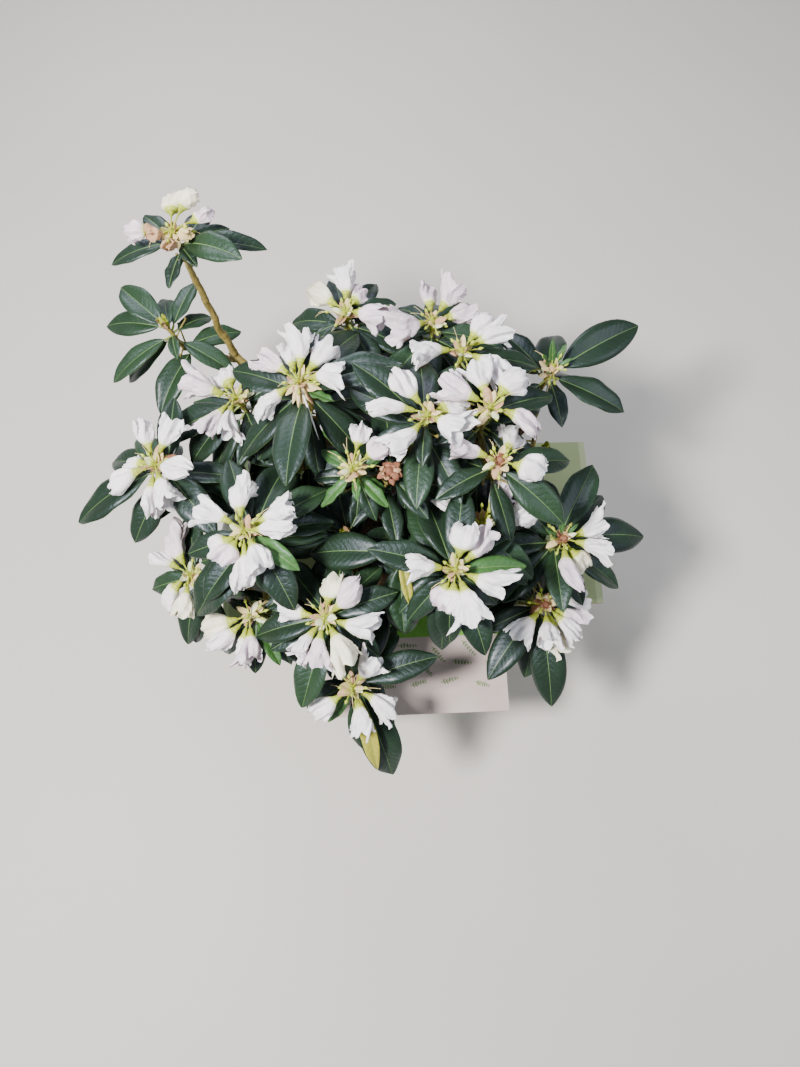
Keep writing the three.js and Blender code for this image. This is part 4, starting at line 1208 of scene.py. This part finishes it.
def make_twigs():
    """The twigs of every mass, with the scars of fallen leaves and short bare side twigs."""
    for mass, shape, draw in foliage_shapes(5):
        stub = np.array([mass["start"] + mass["along"] * STEM_STUB * t for t in np.linspace(0, 1, 6)])
        tube(shape, stub, np.linspace(mass["radius"], mass["radius"] * 0.9, 6), 14)
        for s in mass["shoots"]:
            path = smooth_path(s["route"], 14)
            far = lengths_along(path)
            radii = np.linspace(mass["radius"] * 0.8, TWIG_RADIUS, len(path))
            scars = SCAR_RELIEF * np.maximum(0, np.sin(far * 2 * math.pi / SCAR_SPACING)) ** 6
            tube(shape, path, radii + scars, 12)
            for _ in range(SIDE_TWIGS):
                root = point_along(path, 0.2 + 0.45 * draw())
                bearing, pitch, bend = 360 * draw(), 10 + 40 * draw(), vary(draw, 30) + 1
                end = thread(shape, root, bearing, pitch, bend, 16 + 18 * draw(), 1.3, 0, 7)
                bud_path = np.array([end + vec(0, 0, h) for h in (-1, 1, 3, 4.5)])
                tube(shape, bud_path, (0.9, 1.7, 1.4, 0.3), 7, 0)
        finish_foliage(shape, mass, "twigs", "twig")


# Bark: how long its fissures are, and how far apart its knots are and how far they stand out
FISSURE_LONG = 16
KNOT_SPACING, KNOT_RELIEF = 31, 0.7


def bark_relief(far, around, radius):
    """Fissures that run along a limb, deeper where it is thick, and a knot now and then."""
    rows = noise_rows(far, around, FISSURE_LONG, 2.2, octaves=(0.6, 2.2, 3))
    knots = np.maximum(0, np.sin(far * 2 * math.pi / KNOT_SPACING)) ** 14
    depth = bpy.context.scene.shrub_sizes.bark_relief / MM
    return rows * depth * (radius[:, None] / 8) ** 0.6 + KNOT_RELIEF * knots[:, None]


# The share of a bough's length at which old bark gives way to this year's skin; under 0 all of it is young, and
# over 1 all of it is old. It gives way in patches, with their length and how far past that place they reach
YOUNG_FROM = {"left_back_bough": 0.78, "top_left_bough": -1, "left_whorl_bough": -1}
ALL_OLD = 2
PATCH_LONG, PATCH_REACH = 14, 0.3
LIMB_AROUND = 28
LIMB_WAVE, LIMB_WAVE_LONG = 4.5, 34


def make_bark():
    """The stem and every bough, a little wavy; fissured bark gives way in patches to young skin."""
    for number, (name, (points, radii)) in enumerate(grown()[0].items()):
        shape = Shape()
        path = smooth_path(points, 12)
        share = np.linspace(0, 1, len(path))
        far = lengths_along(path)
        radius = np.interp(share, np.linspace(0, 1, len(radii)), radii)
        wave = [[noise.noise(Vector((f / LIMB_WAVE_LONG, 9 * axis, 5 * number))) for axis in range(3)]
                for f in far]
        path += LIMB_WAVE * np.sin(math.pi * share)[:, None] * np.array(wave)
        patches = noise_rows(far[:-1], LIMB_AROUND, PATCH_LONG, 1.3)
        young = share[:-1, None] + PATCH_REACH * patches > YOUNG_FROM.get(name, ALL_OLD)
        tube(shape, path, radius, LIMB_AROUND, young.astype(int), bark_relief(far, LIMB_AROUND, radius))
        shape.finish(f"{name}_bark", picked("bark", "young_bark"), "bark", (name,))


def square_ring(half, corner, height, steps=6):
    """A square with rounded corners, anticlockwise from above."""
    turns = (np.arange(4)[:, None] * 90 + np.linspace(0, 90, steps)).reshape(-1)
    centre = np.repeat([[1, 1], [-1, 1], [-1, -1], [1, -1]], steps, 0) * (half - corner)
    a = np.radians(turns)
    flat = centre + corner * np.column_stack([np.cos(a), np.sin(a)])
    return np.column_stack([flat, np.full(len(a), height)])


# Finishes of a flap by their numbers: its paper, the strip along one edge (the printed band, or on the plain
# flaps a rim lightened as a painted highlight), its cut edges and its sprigs.
# Then how thick the paper is, how wide the band along the crease and the strip along the rim are, and how
# many sprigs
GROUND, STRIP, CUT, SPRIG = range(4)
PAPER = 0.45
BAND_WIDTH, RIM_WIDTH = 33, 8
SPRIGS = 16

# The wavy layer: steps for each wave, how far it keeps inside the board and its sides, its half thickness
WAVE_STEPS = 8
WAVE_INSET, SIDE_INSET = 0.65, 0.3
WAVE_HALF = 0.15

# A sprig: the heights between which its ink lies on the board, and how many pairs of leaves it has
INK = (0.02, 0.08)
SPRIG_PAIRS = 6


def flap_to_frame(points, quarter):
    """Moves points of a flap, across, outward and up from its crease, to the side that it is on."""
    droop, turn = math.radians(FLAP_DROOP), math.radians(90 * quarter)
    x, y, z = points[..., 0], -points[..., 1], points[..., 2]
    y, z = y * math.cos(droop) - z * math.sin(droop), y * math.sin(droop) + z * math.cos(droop)
    y = y - (CARTON_SIDE / 2 + GAP + BOARD * math.sin(droop))
    z = z + CARTON_HEIGHT
    return np.stack([x * math.cos(turn) - y * math.sin(turn), x * math.sin(turn) + y * math.cos(turn), z], -1)


def slab(shape, quarter, y_range, z_range, kind):
    """A flat piece across a flap, from one distance out from its crease to another."""
    half, (z0, z1) = FLAP_WIDTH / 2, z_range
    outline = ((half, z0), (half, z1), (-half, z1), (-half, z0))
    rings = np.array([[(x, y, z) for x, z in outline] for y in y_range])
    shape.sweep(flap_to_frame(rings, quarter), kind, rings[..., :2])


def flutes(shape, quarter):
    """The wavy middle layer of a flap's board, seen at its cut edges."""
    pitch = bpy.context.scene.shrub_sizes.flute_pitch / MM
    steps = int(FLAP_WIDTH / pitch) * WAVE_STEPS
    x = np.linspace(-FLAP_WIDTH / 2 + SIDE_INSET, FLAP_WIDTH / 2 - SIDE_INSET, steps)
    wave = -BOARD / 2 + (BOARD / 2 - WAVE_INSET) * np.sin(2 * math.pi * x / pitch)
    near, far = 0.4, FLAP_LENGTH - 0.4
    rings = [[(a, near, z + WAVE_HALF), (a, far, z + WAVE_HALF), (a, far, z - WAVE_HALF),
              (a, near, z - WAVE_HALF)] for a, z in zip(x, wave)]
    shape.sweep(flap_to_frame(np.array(rings), quarter), CUT)


def sprig(shape, quarter, x, y, turn, long, draw):
    """A printed sprig: a thin line with pairs of small oval leaves."""
    def flat(points):
        """A thin flat piece that lies on the board, with an outline."""
        ring = np.array([[(px, py, z) for px, py in points] for z in INK])
        shape.sweep(flap_to_frame(ring, quarter), SPRIG)

    a = math.radians(turn)
    way, aside = np.array((math.sin(a), math.cos(a))), np.array((math.cos(a), -math.sin(a)))
    foot, tip = np.array((x, y)), np.array((x, y)) + way * long
    flat([foot + aside * 0.5, tip + aside * 0.3, tip - aside * 0.3, foot - aside * 0.5])
    angles = np.linspace(0, 2 * math.pi, 12, endpoint=False)
    for i in range(SPRIG_PAIRS):
        for hand in (1, -1):
            size = 1.7 - 0.14 * i + 0.6 * draw()
            root = foot + way * long * (0.15 + 0.16 * i)
            spread = math.radians(hand * (48 + 14 * draw()))
            out = way * math.cos(spread) + aside * math.sin(spread)
            over = np.array((-out[1], out[0]))
            flat([root + out * size * (1 + math.cos(t)) + over * size * 0.5 * math.sin(t) for t in angles])


def carton_body():
    """The walls and floor of the carton; the edge at the top of its walls is cut board."""
    shape, top = Shape(), CARTON_HEIGHT
    half, inner = CARTON_SIDE / 2, CARTON_SIDE / 2 - BOARD
    outside = ((half - 0.3, 0), (half, 0.4), (half, 60), (half, 120), (half, top - 0.3), (half - 0.3, top))
    inside = ((inner + 0.3, top), (inner, top - 0.3), (inner, 100), (inner, BOARD))
    rings = [square_ring(reach, 4, z) for reach, z in outside]
    rings += [square_ring(reach, 2, z) for reach, z in inside]
    kinds = np.zeros((len(rings) - 1, 1), int)
    kinds[len(outside) - 1] = 1
    shape.sweep(np.array(rings), kinds)
    shape.finish("carton_body", picked("flap", "edge"), "carton_board", ("carton",))


def flap_board(quarter, name, printed):
    """A flap of corrugated board: printed with a band and sprigs, or plain with a strip at its rim lightened as
    a painted highlight.
    """
    shape, draw = Shape(), seeded(6 * FIRST_SEED + quarter)
    top, low = (-PAPER, 0), (-BOARD, -BOARD + PAPER)
    if printed:
        slab(shape, quarter, (0, BAND_WIDTH), top, STRIP)
        slab(shape, quarter, (BAND_WIDTH, FLAP_LENGTH), top, GROUND)
        for i in range(SPRIGS):
            x = -FLAP_WIDTH / 2 + 16 + 13 * i + vary(draw, 3)
            y = 42 + 24 * (i * 2 % 3) + vary(draw, 4)
            sprig(shape, quarter, x, y, 70 + vary(draw, 40), 17 + 9 * draw(), draw)
    else:
        slab(shape, quarter, (0, FLAP_LENGTH - RIM_WIDTH), top, GROUND)
        # The rim strip is a painted highlight: the same green board, coloured lighter
        slab(shape, quarter, (FLAP_LENGTH - RIM_WIDTH, FLAP_LENGTH), top, STRIP)
    slab(shape, quarter, (0, FLAP_LENGTH), low, CUT)
    flutes(shape, quarter)
    materials = picked("board", "band", "edge", "sprig") if printed else picked("flap", "flap_rim_painted_light", "edge")
    shape.finish(f"{name}_board", materials, "carton_board" if printed else "green_board", (name,), 30)


def make_carton():
    """The carton and its four flaps, of which the front and back ones are printed."""
    carton_body()
    for quarter, name in enumerate(("flap_front", "flap_right", "flap_back", "flap_left")):
        flap_board(quarter, name, printed=quarter % 2 == 0)


# The pot: where its foot stands, how far its wall leans out for each millimetre up, the points round it,
# and how many ribs it has and how far they stand out
POT_BASE = BOARD + GAP
POT_SLOPE = (POT_TOP - POT_RIM - POT_FOOT) / POT_HEIGHT
POT_AROUND = 96
POT_RIBS, POT_RIB_RELIEF = 24, 0.25


def pot_wall(z):
    """The radius of the outside of the pot's wall at a height."""
    return POT_FOOT + POT_SLOPE * (z - POT_BASE)


def make_pot():
    """The round nursery pot, with a rolled rim and faint upright ribs."""
    shape = Shape()
    foot, top = POT_BASE, POT_BASE + POT_HEIGHT
    rim = top - POT_RIM_DEPTH
    base = [(POT_FOOT - 12, foot + 2), (POT_FOOT - 10, foot), (POT_FOOT - 1.5, foot), (POT_FOOT, foot + 1.5)]
    wall = [(pot_wall(z), z) for z in np.linspace(foot + 8, rim - 1, 10)]
    lip = [(POT_TOP - 1.2, rim), (POT_TOP, rim + 1.2), (POT_TOP, top - 1.6), (POT_TOP - 0.8, top - 0.4),
           (POT_TOP - 2.4, top), (pot_wall(top) - POT_WALL + 0.4, top - 0.4)]
    inside = [(pot_wall(z) - POT_WALL, z) for z in np.linspace(top - 2, foot + 4, 8)]
    profile = base + wall + lip + inside
    relief = np.zeros((len(profile), POT_AROUND))
    ribs = POT_RIB_RELIEF * np.cos(np.arange(POT_AROUND) * 2 * math.pi * POT_RIBS / POT_AROUND)
    relief[len(base):len(base) + len(wall)] = ribs
    lathe(shape, profile, POT_AROUND, 0, relief)
    shape.finish("pot_shell", picked("pot"), "pot_plastic", ("nursery_pot",), 40)


# The soil: its lumps for each millimetre, how many crumbs and grains lie on it, the share of grains of
# perlite, and the outline of one
LUMPS_PER_MM = 0.06
CRUMBS = 420
PERLITE_SHARE = 0.1
CRUMB_HEIGHTS = (-0.6, -0.3, 0.25, 0.6)
CRUMB_RADII = np.array((0.5, 0.95, 0.9, 0.4))
CRUMB_AROUND = 7


def make_soil():
    """Peat soil with a rough, crumbly top and grains of perlite."""
    shape, draw = Shape(), seeded(7 * FIRST_SEED)
    bottom, top = POT_BASE + POT_WALL + GAP, POT_BASE + POT_HEIGHT - SOIL_DEPTH
    clear, edge = POT_WALL + GAP + 0.3, top - SOIL_EDGE
    reach = pot_wall(edge) - clear
    side = [(pot_wall(z) - clear, z) for z in (bottom, (bottom + edge) / 2, edge - 4)]
    bed = [(r, edge + min(1, (reach - r) / (reach - SOIL_FLAT)) * SOIL_EDGE)
           for r in np.linspace(reach - 1, 2, 34)]
    turn = np.arange(POT_AROUND) * 2 * math.pi / POT_AROUND
    radius, height = np.array(side + bed).T[:, :, None]
    rings = np.stack([radius * np.cos(turn), radius * np.sin(turn), height + 0 * turn], -1)
    rough = bpy.context.scene.shrub_sizes.soil_relief / MM
    for row in rings[len(side):]:
        for point in row:
            point[2] += rough * noise.fractal(Vector(point * LUMPS_PER_MM), 0.7, 2.3, 4) * 1.6 - 0.8
    shape.sweep(rings)
    for _ in range(CRUMBS):
        r, a = reach * 0.96 * math.sqrt(draw()), 2 * math.pi * draw()
        size = 1.1 + 2.6 * draw() ** 2
        sunk = SOIL_EDGE * max(0, (r - SOIL_FLAT) / (reach - SOIL_FLAT))
        at = vec(r * math.cos(a), r * math.sin(a), top - sunk)
        lump = np.array([at + vec(0, 0, size * h) for h in CRUMB_HEIGHTS])
        kind = 1 if draw() < PERLITE_SHARE else 0
        tube(shape, lump, size * CRUMB_RADII, CRUMB_AROUND, kind, vary(draw, 0.25) * size)
    shape.finish("soil_top", picked("soil", "perlite"), "soil", ("soil",), 80)


# Each lamp, in metres and watts: its name, where it hangs, what it points at, its width, power and colour
LAMPS = (
    ("key", (-0.75, -0.5, 1.85), (0, 0, 0.35), 0.35, 78, "#fffaf4"),
    ("fill", (1.3, -0.2, 1.5), (0, 0, 0.3), 1.2, 12, "#f4f7ff"),
    ("back", (-0.5, 1.4, 1.3), (0, 0, 0.4), 1.0, 20, "#f4f7ff"),
)
SKY, SKY_STRENGTH = "#dfe3ea", 0.3

# The camera: where it is and how it is turned, in metres, and its lens and sensor in millimetres
CAMERA_AT = (0.0183, -0.3858, 1.2)
CAMERA_TURN = ((0.9985, 0.0466, 0.0276), (-0.0339, 0.9357, -0.3513), (-0.0422, 0.3498, 0.9359))
LENS, SENSOR = 27.67, 36
FLOOR = 40.0


def lamp(name, at, to, size, power, colour):
    """A round area lamp that points at a place."""
    data = bpy.data.lights.new(name, "AREA")
    data.shape = "DISK"
    data.size, data.energy, data.color = size, power, linear(colour)[:3]
    made = bpy.data.objects.new(name, data)
    bpy.context.scene.collection.objects.link(made)
    made.location = at
    made.rotation_mode = "QUATERNION"
    made.rotation_quaternion = (Vector(to) - Vector(at)).to_track_quat("-Z", "Y")


def make_stage():
    """A plain pale floor, soft lights and the camera where the photograph was taken from."""
    scene = bpy.context.scene
    mesh = bpy.data.meshes.new("floor")
    half = FLOOR / 2
    corners = [(-half, -half, 0), (half, -half, 0), (half, half, 0), (-half, half, 0)]
    mesh.from_pydata(corners, [], [(0, 1, 2, 3)])
    # Sealed smooth concrete, plain, pale and matt
    mesh.materials.append(speckled("plain_pale_floor", scene.shrub_colours.floor, 400, 0.8, PAPER_IOR, 0.02))
    floor = bpy.data.objects.new("floor", mesh)
    scene.collection.objects.link(floor)
    for row in LAMPS:
        lamp(*row)
    world = bpy.data.worlds.new("studio")
    world.use_nodes = True
    background = world.node_tree.nodes["Background"]
    background.inputs["Color"].default_value = linear(SKY)
    background.inputs["Strength"].default_value = SKY_STRENGTH
    scene.world = world
    data = bpy.data.cameras.new("camera")
    data.lens, data.sensor_width = LENS, SENSOR
    camera = bpy.data.objects.new("camera", data)
    scene.collection.objects.link(camera)
    camera.matrix_world = Matrix.Translation(CAMERA_AT) @ Matrix(CAMERA_TURN).to_4x4()
    scene.camera = camera


def length_prop(name, description, default):
    """A length in metres, whose default is given in millimetres."""
    return bpy.props.FloatProperty(name=name, description=description, default=default * MM, min=0,
                                   unit="LENGTH", subtype="DISTANCE", precision=5)


def colour_prop(name, description, default):
    """A linear colour, whose default is given as an sRGB hex colour."""
    return bpy.props.FloatVectorProperty(name=name, description=description, default=linear(default), size=4,
                                         min=0, max=1, subtype="COLOR")


class ShrubSizes(bpy.types.PropertyGroup):
    """Sizes that a user may change before the pieces are built."""

    leaf_thickness: length_prop("Leaf thickness", "Thickness of a blade away from its midrib", 0.5)
    leaf_fold: bpy.props.FloatProperty(
        name="Leaf fold", description="How far each half of a blade is folded up", default=math.radians(17),
        min=0, unit="ROTATION", subtype="ANGLE")
    vein_spacing: length_prop("Vein spacing", "Distance between side veins along the midrib", 7.5)
    vein_relief: length_prop("Vein relief", "How far a blade puffs up between its veins", 0.5)
    flower_width: length_prop("Flower width", "Width of a furled flower", 30)
    petal_pleat: length_prop("Pleat height", "Height of the long pleats of a flower", 2.2)
    bark_relief: length_prop("Bark relief", "Depth of the fissures of old bark", 1.0)
    flute_pitch: length_prop("Flute pitch", "Distance between the waves in the corrugated board", 6.5)
    soil_relief: length_prop("Soil relief", "How rough the top of the soil is", 2.2)


class ShrubColours(bpy.types.PropertyGroup):
    """Colours that a user may change before the pieces are built."""

    leaf_deep: colour_prop("Old leaf", "Most leaves", "#1d2f1d")
    leaf_mid: colour_prop("Mid leaf", "Leaves of this year", "#253c23")
    leaf_young: colour_prop("Young leaf", "Leaves that have just opened", "#3c632e")
    leaf_yellow: colour_prop("Yellowing leaf", "Leaves about to fall", "#a3a03c")
    leaf_under: colour_prop("Underside", "Underside of all leaves", "#5f7549")
    midrib: colour_prop("Midrib", "Midrib on the upper side", "#5d7a48")
    petiole: colour_prop("Petiole", "Stalks of leaves", "#87954a")
    twig: colour_prop("Twig", "Bark of twigs", "#857a3e")
    neck: colour_prop("Neck", "Stalks and necks of flowers", "#98a334")
    petal_lime: colour_prop("Petal foot", "The narrow foot of the petals", "#b5c44e")
    petal_base: colour_prop("Petal base", "Petals next to the neck", "#e3e8bf")
    petal: colour_prop("Petal", "Petals", "#f4f0f5")
    petal_blush: colour_prop("Mauve petal", "Petals with a faint mauve tint", "#e4d5e1")
    petal_ivory: colour_prop("Ivory petal", "Petals that have begun to fade", "#f1eed6")
    bract_cream: colour_prop("Cream bract", "Fresh bracts", "#d8c592")
    bract_tan: colour_prop("Tan bract", "Dry bracts", "#bd9877")
    bract_brown: colour_prop("Brown bract", "Withered bracts and buds", "#855741")
    bark: colour_prop("Bark", "Stem and boughs", "#6a5743")
    young_bark: colour_prop("Young bark", "Boughs with this year's growth", "#847539")
    board: colour_prop("Printed board", "Stone ground of the printed flaps", "#b9aba8")
    board_band: colour_prop("Band", "Band along the crease of the printed flaps", "#6fae3f")
    board_sprig: colour_prop("Sprig", "Printed sprigs", "#6c7f55")
    board_green: colour_prop("Green board", "Side flaps and carton", "#9fae7f")
    # A lighter green for the rim strip of the side flaps: painted highlight
    board_rim_painted_light: colour_prop("Green board rim", "Outer strip of the side flaps", "#b5c296")
    # Kraft brown, darkened a little as painted shade
    board_edge: colour_prop("Cut edge", "Cut edges and underside of the board", "#a08765")
    pot: colour_prop("Pot", "Plastic of the pot", "#161717")
    soil: colour_prop("Soil", "Peat", "#3a2a1d")
    perlite: colour_prop("Perlite", "Grains in the soil", "#d8d5cc")
    floor: colour_prop("Floor", "Floor of the stage", "#cfccc7")


class SHRUB_OT_carton(bpy.types.Operator):
    """Build the corrugated carton and its four flaps"""

    bl_idname = "shrub.carton"
    bl_label = "Carton and flaps"

    def execute(self, context):
        make_carton()
        return {"FINISHED"}


class SHRUB_OT_pot(bpy.types.Operator):
    """Build the nursery pot"""

    bl_idname = "shrub.pot"
    bl_label = "Nursery pot"

    def execute(self, context):
        make_pot()
        return {"FINISHED"}


class SHRUB_OT_soil(bpy.types.Operator):
    """Build the soil in the pot"""

    bl_idname = "shrub.soil"
    bl_label = "Soil"

    def execute(self, context):
        make_soil()
        return {"FINISHED"}


class SHRUB_OT_bark(bpy.types.Operator):
    """Build the stem and the boughs with their bark"""

    bl_idname = "shrub.bark"
    bl_label = "Stem and boughs"

    def execute(self, context):
        make_bark()
        return {"FINISHED"}


class SHRUB_OT_twigs(bpy.types.Operator):
    """Build the twigs of every mass"""

    bl_idname = "shrub.twigs"
    bl_label = "Twigs"

    def execute(self, context):
        make_twigs()
        return {"FINISHED"}


class SHRUB_OT_leaves(bpy.types.Operator):
    """Build the leaves of every mass"""

    bl_idname = "shrub.leaves"
    bl_label = "Leaves"

    def execute(self, context):
        make_leaves()
        return {"FINISHED"}


class SHRUB_OT_blossom(bpy.types.Operator):
    """Build the flowers, bracts and buds of every mass"""

    bl_idname = "shrub.blossom"
    bl_label = "Blossom"

    def execute(self, context):
        make_blossom()
        return {"FINISHED"}


class SHRUB_OT_stage(bpy.types.Operator):
    """Build the floor, the lights and the camera"""

    bl_idname = "shrub.stage"
    bl_label = "Stage"

    def execute(self, context):
        make_stage()
        return {"FINISHED"}


OPERATORS = (SHRUB_OT_carton, SHRUB_OT_pot, SHRUB_OT_soil, SHRUB_OT_bark, SHRUB_OT_twigs, SHRUB_OT_leaves,
             SHRUB_OT_blossom, SHRUB_OT_stage)


class SHRUB_PT_panel(bpy.types.Panel):
    """Sizes, colours and the pieces that can be built."""

    bl_idname = "SHRUB_PT_panel"
    bl_label = "Potted azalea shrub"
    bl_space_type = "VIEW_3D"
    bl_region_type = "UI"
    bl_category = "Shrub"

    def draw(self, context):
        for kind in OPERATORS:
            self.layout.operator(kind.bl_idname)
        for group in (context.scene.shrub_sizes, context.scene.shrub_colours):
            for name in group.__annotations__:
                self.layout.prop(group, name)


CLASSES = (ShrubSizes, ShrubColours, *OPERATORS, SHRUB_PT_panel)


def register():
    """Registers the classes and puts their properties on the scene."""
    for kind in CLASSES:
        bpy.utils.register_class(kind)
    bpy.types.Scene.shrub_sizes = bpy.props.PointerProperty(type=ShrubSizes)
    bpy.types.Scene.shrub_colours = bpy.props.PointerProperty(type=ShrubColours)


def unregister():
    """Takes the properties and the classes away again."""
    del bpy.types.Scene.shrub_colours
    del bpy.types.Scene.shrub_sizes
    for kind in reversed(CLASSES):
        bpy.utils.unregister_class(kind)


def main():
    """Builds every piece and the stage."""
    register()
    bpy.ops.shrub.carton()
    bpy.ops.shrub.pot()
    bpy.ops.shrub.soil()
    bpy.ops.shrub.bark()
    bpy.ops.shrub.twigs()
    bpy.ops.shrub.leaves()
    bpy.ops.shrub.blossom()
    bpy.ops.shrub.stage()


if __name__ == "__main__":
    main()
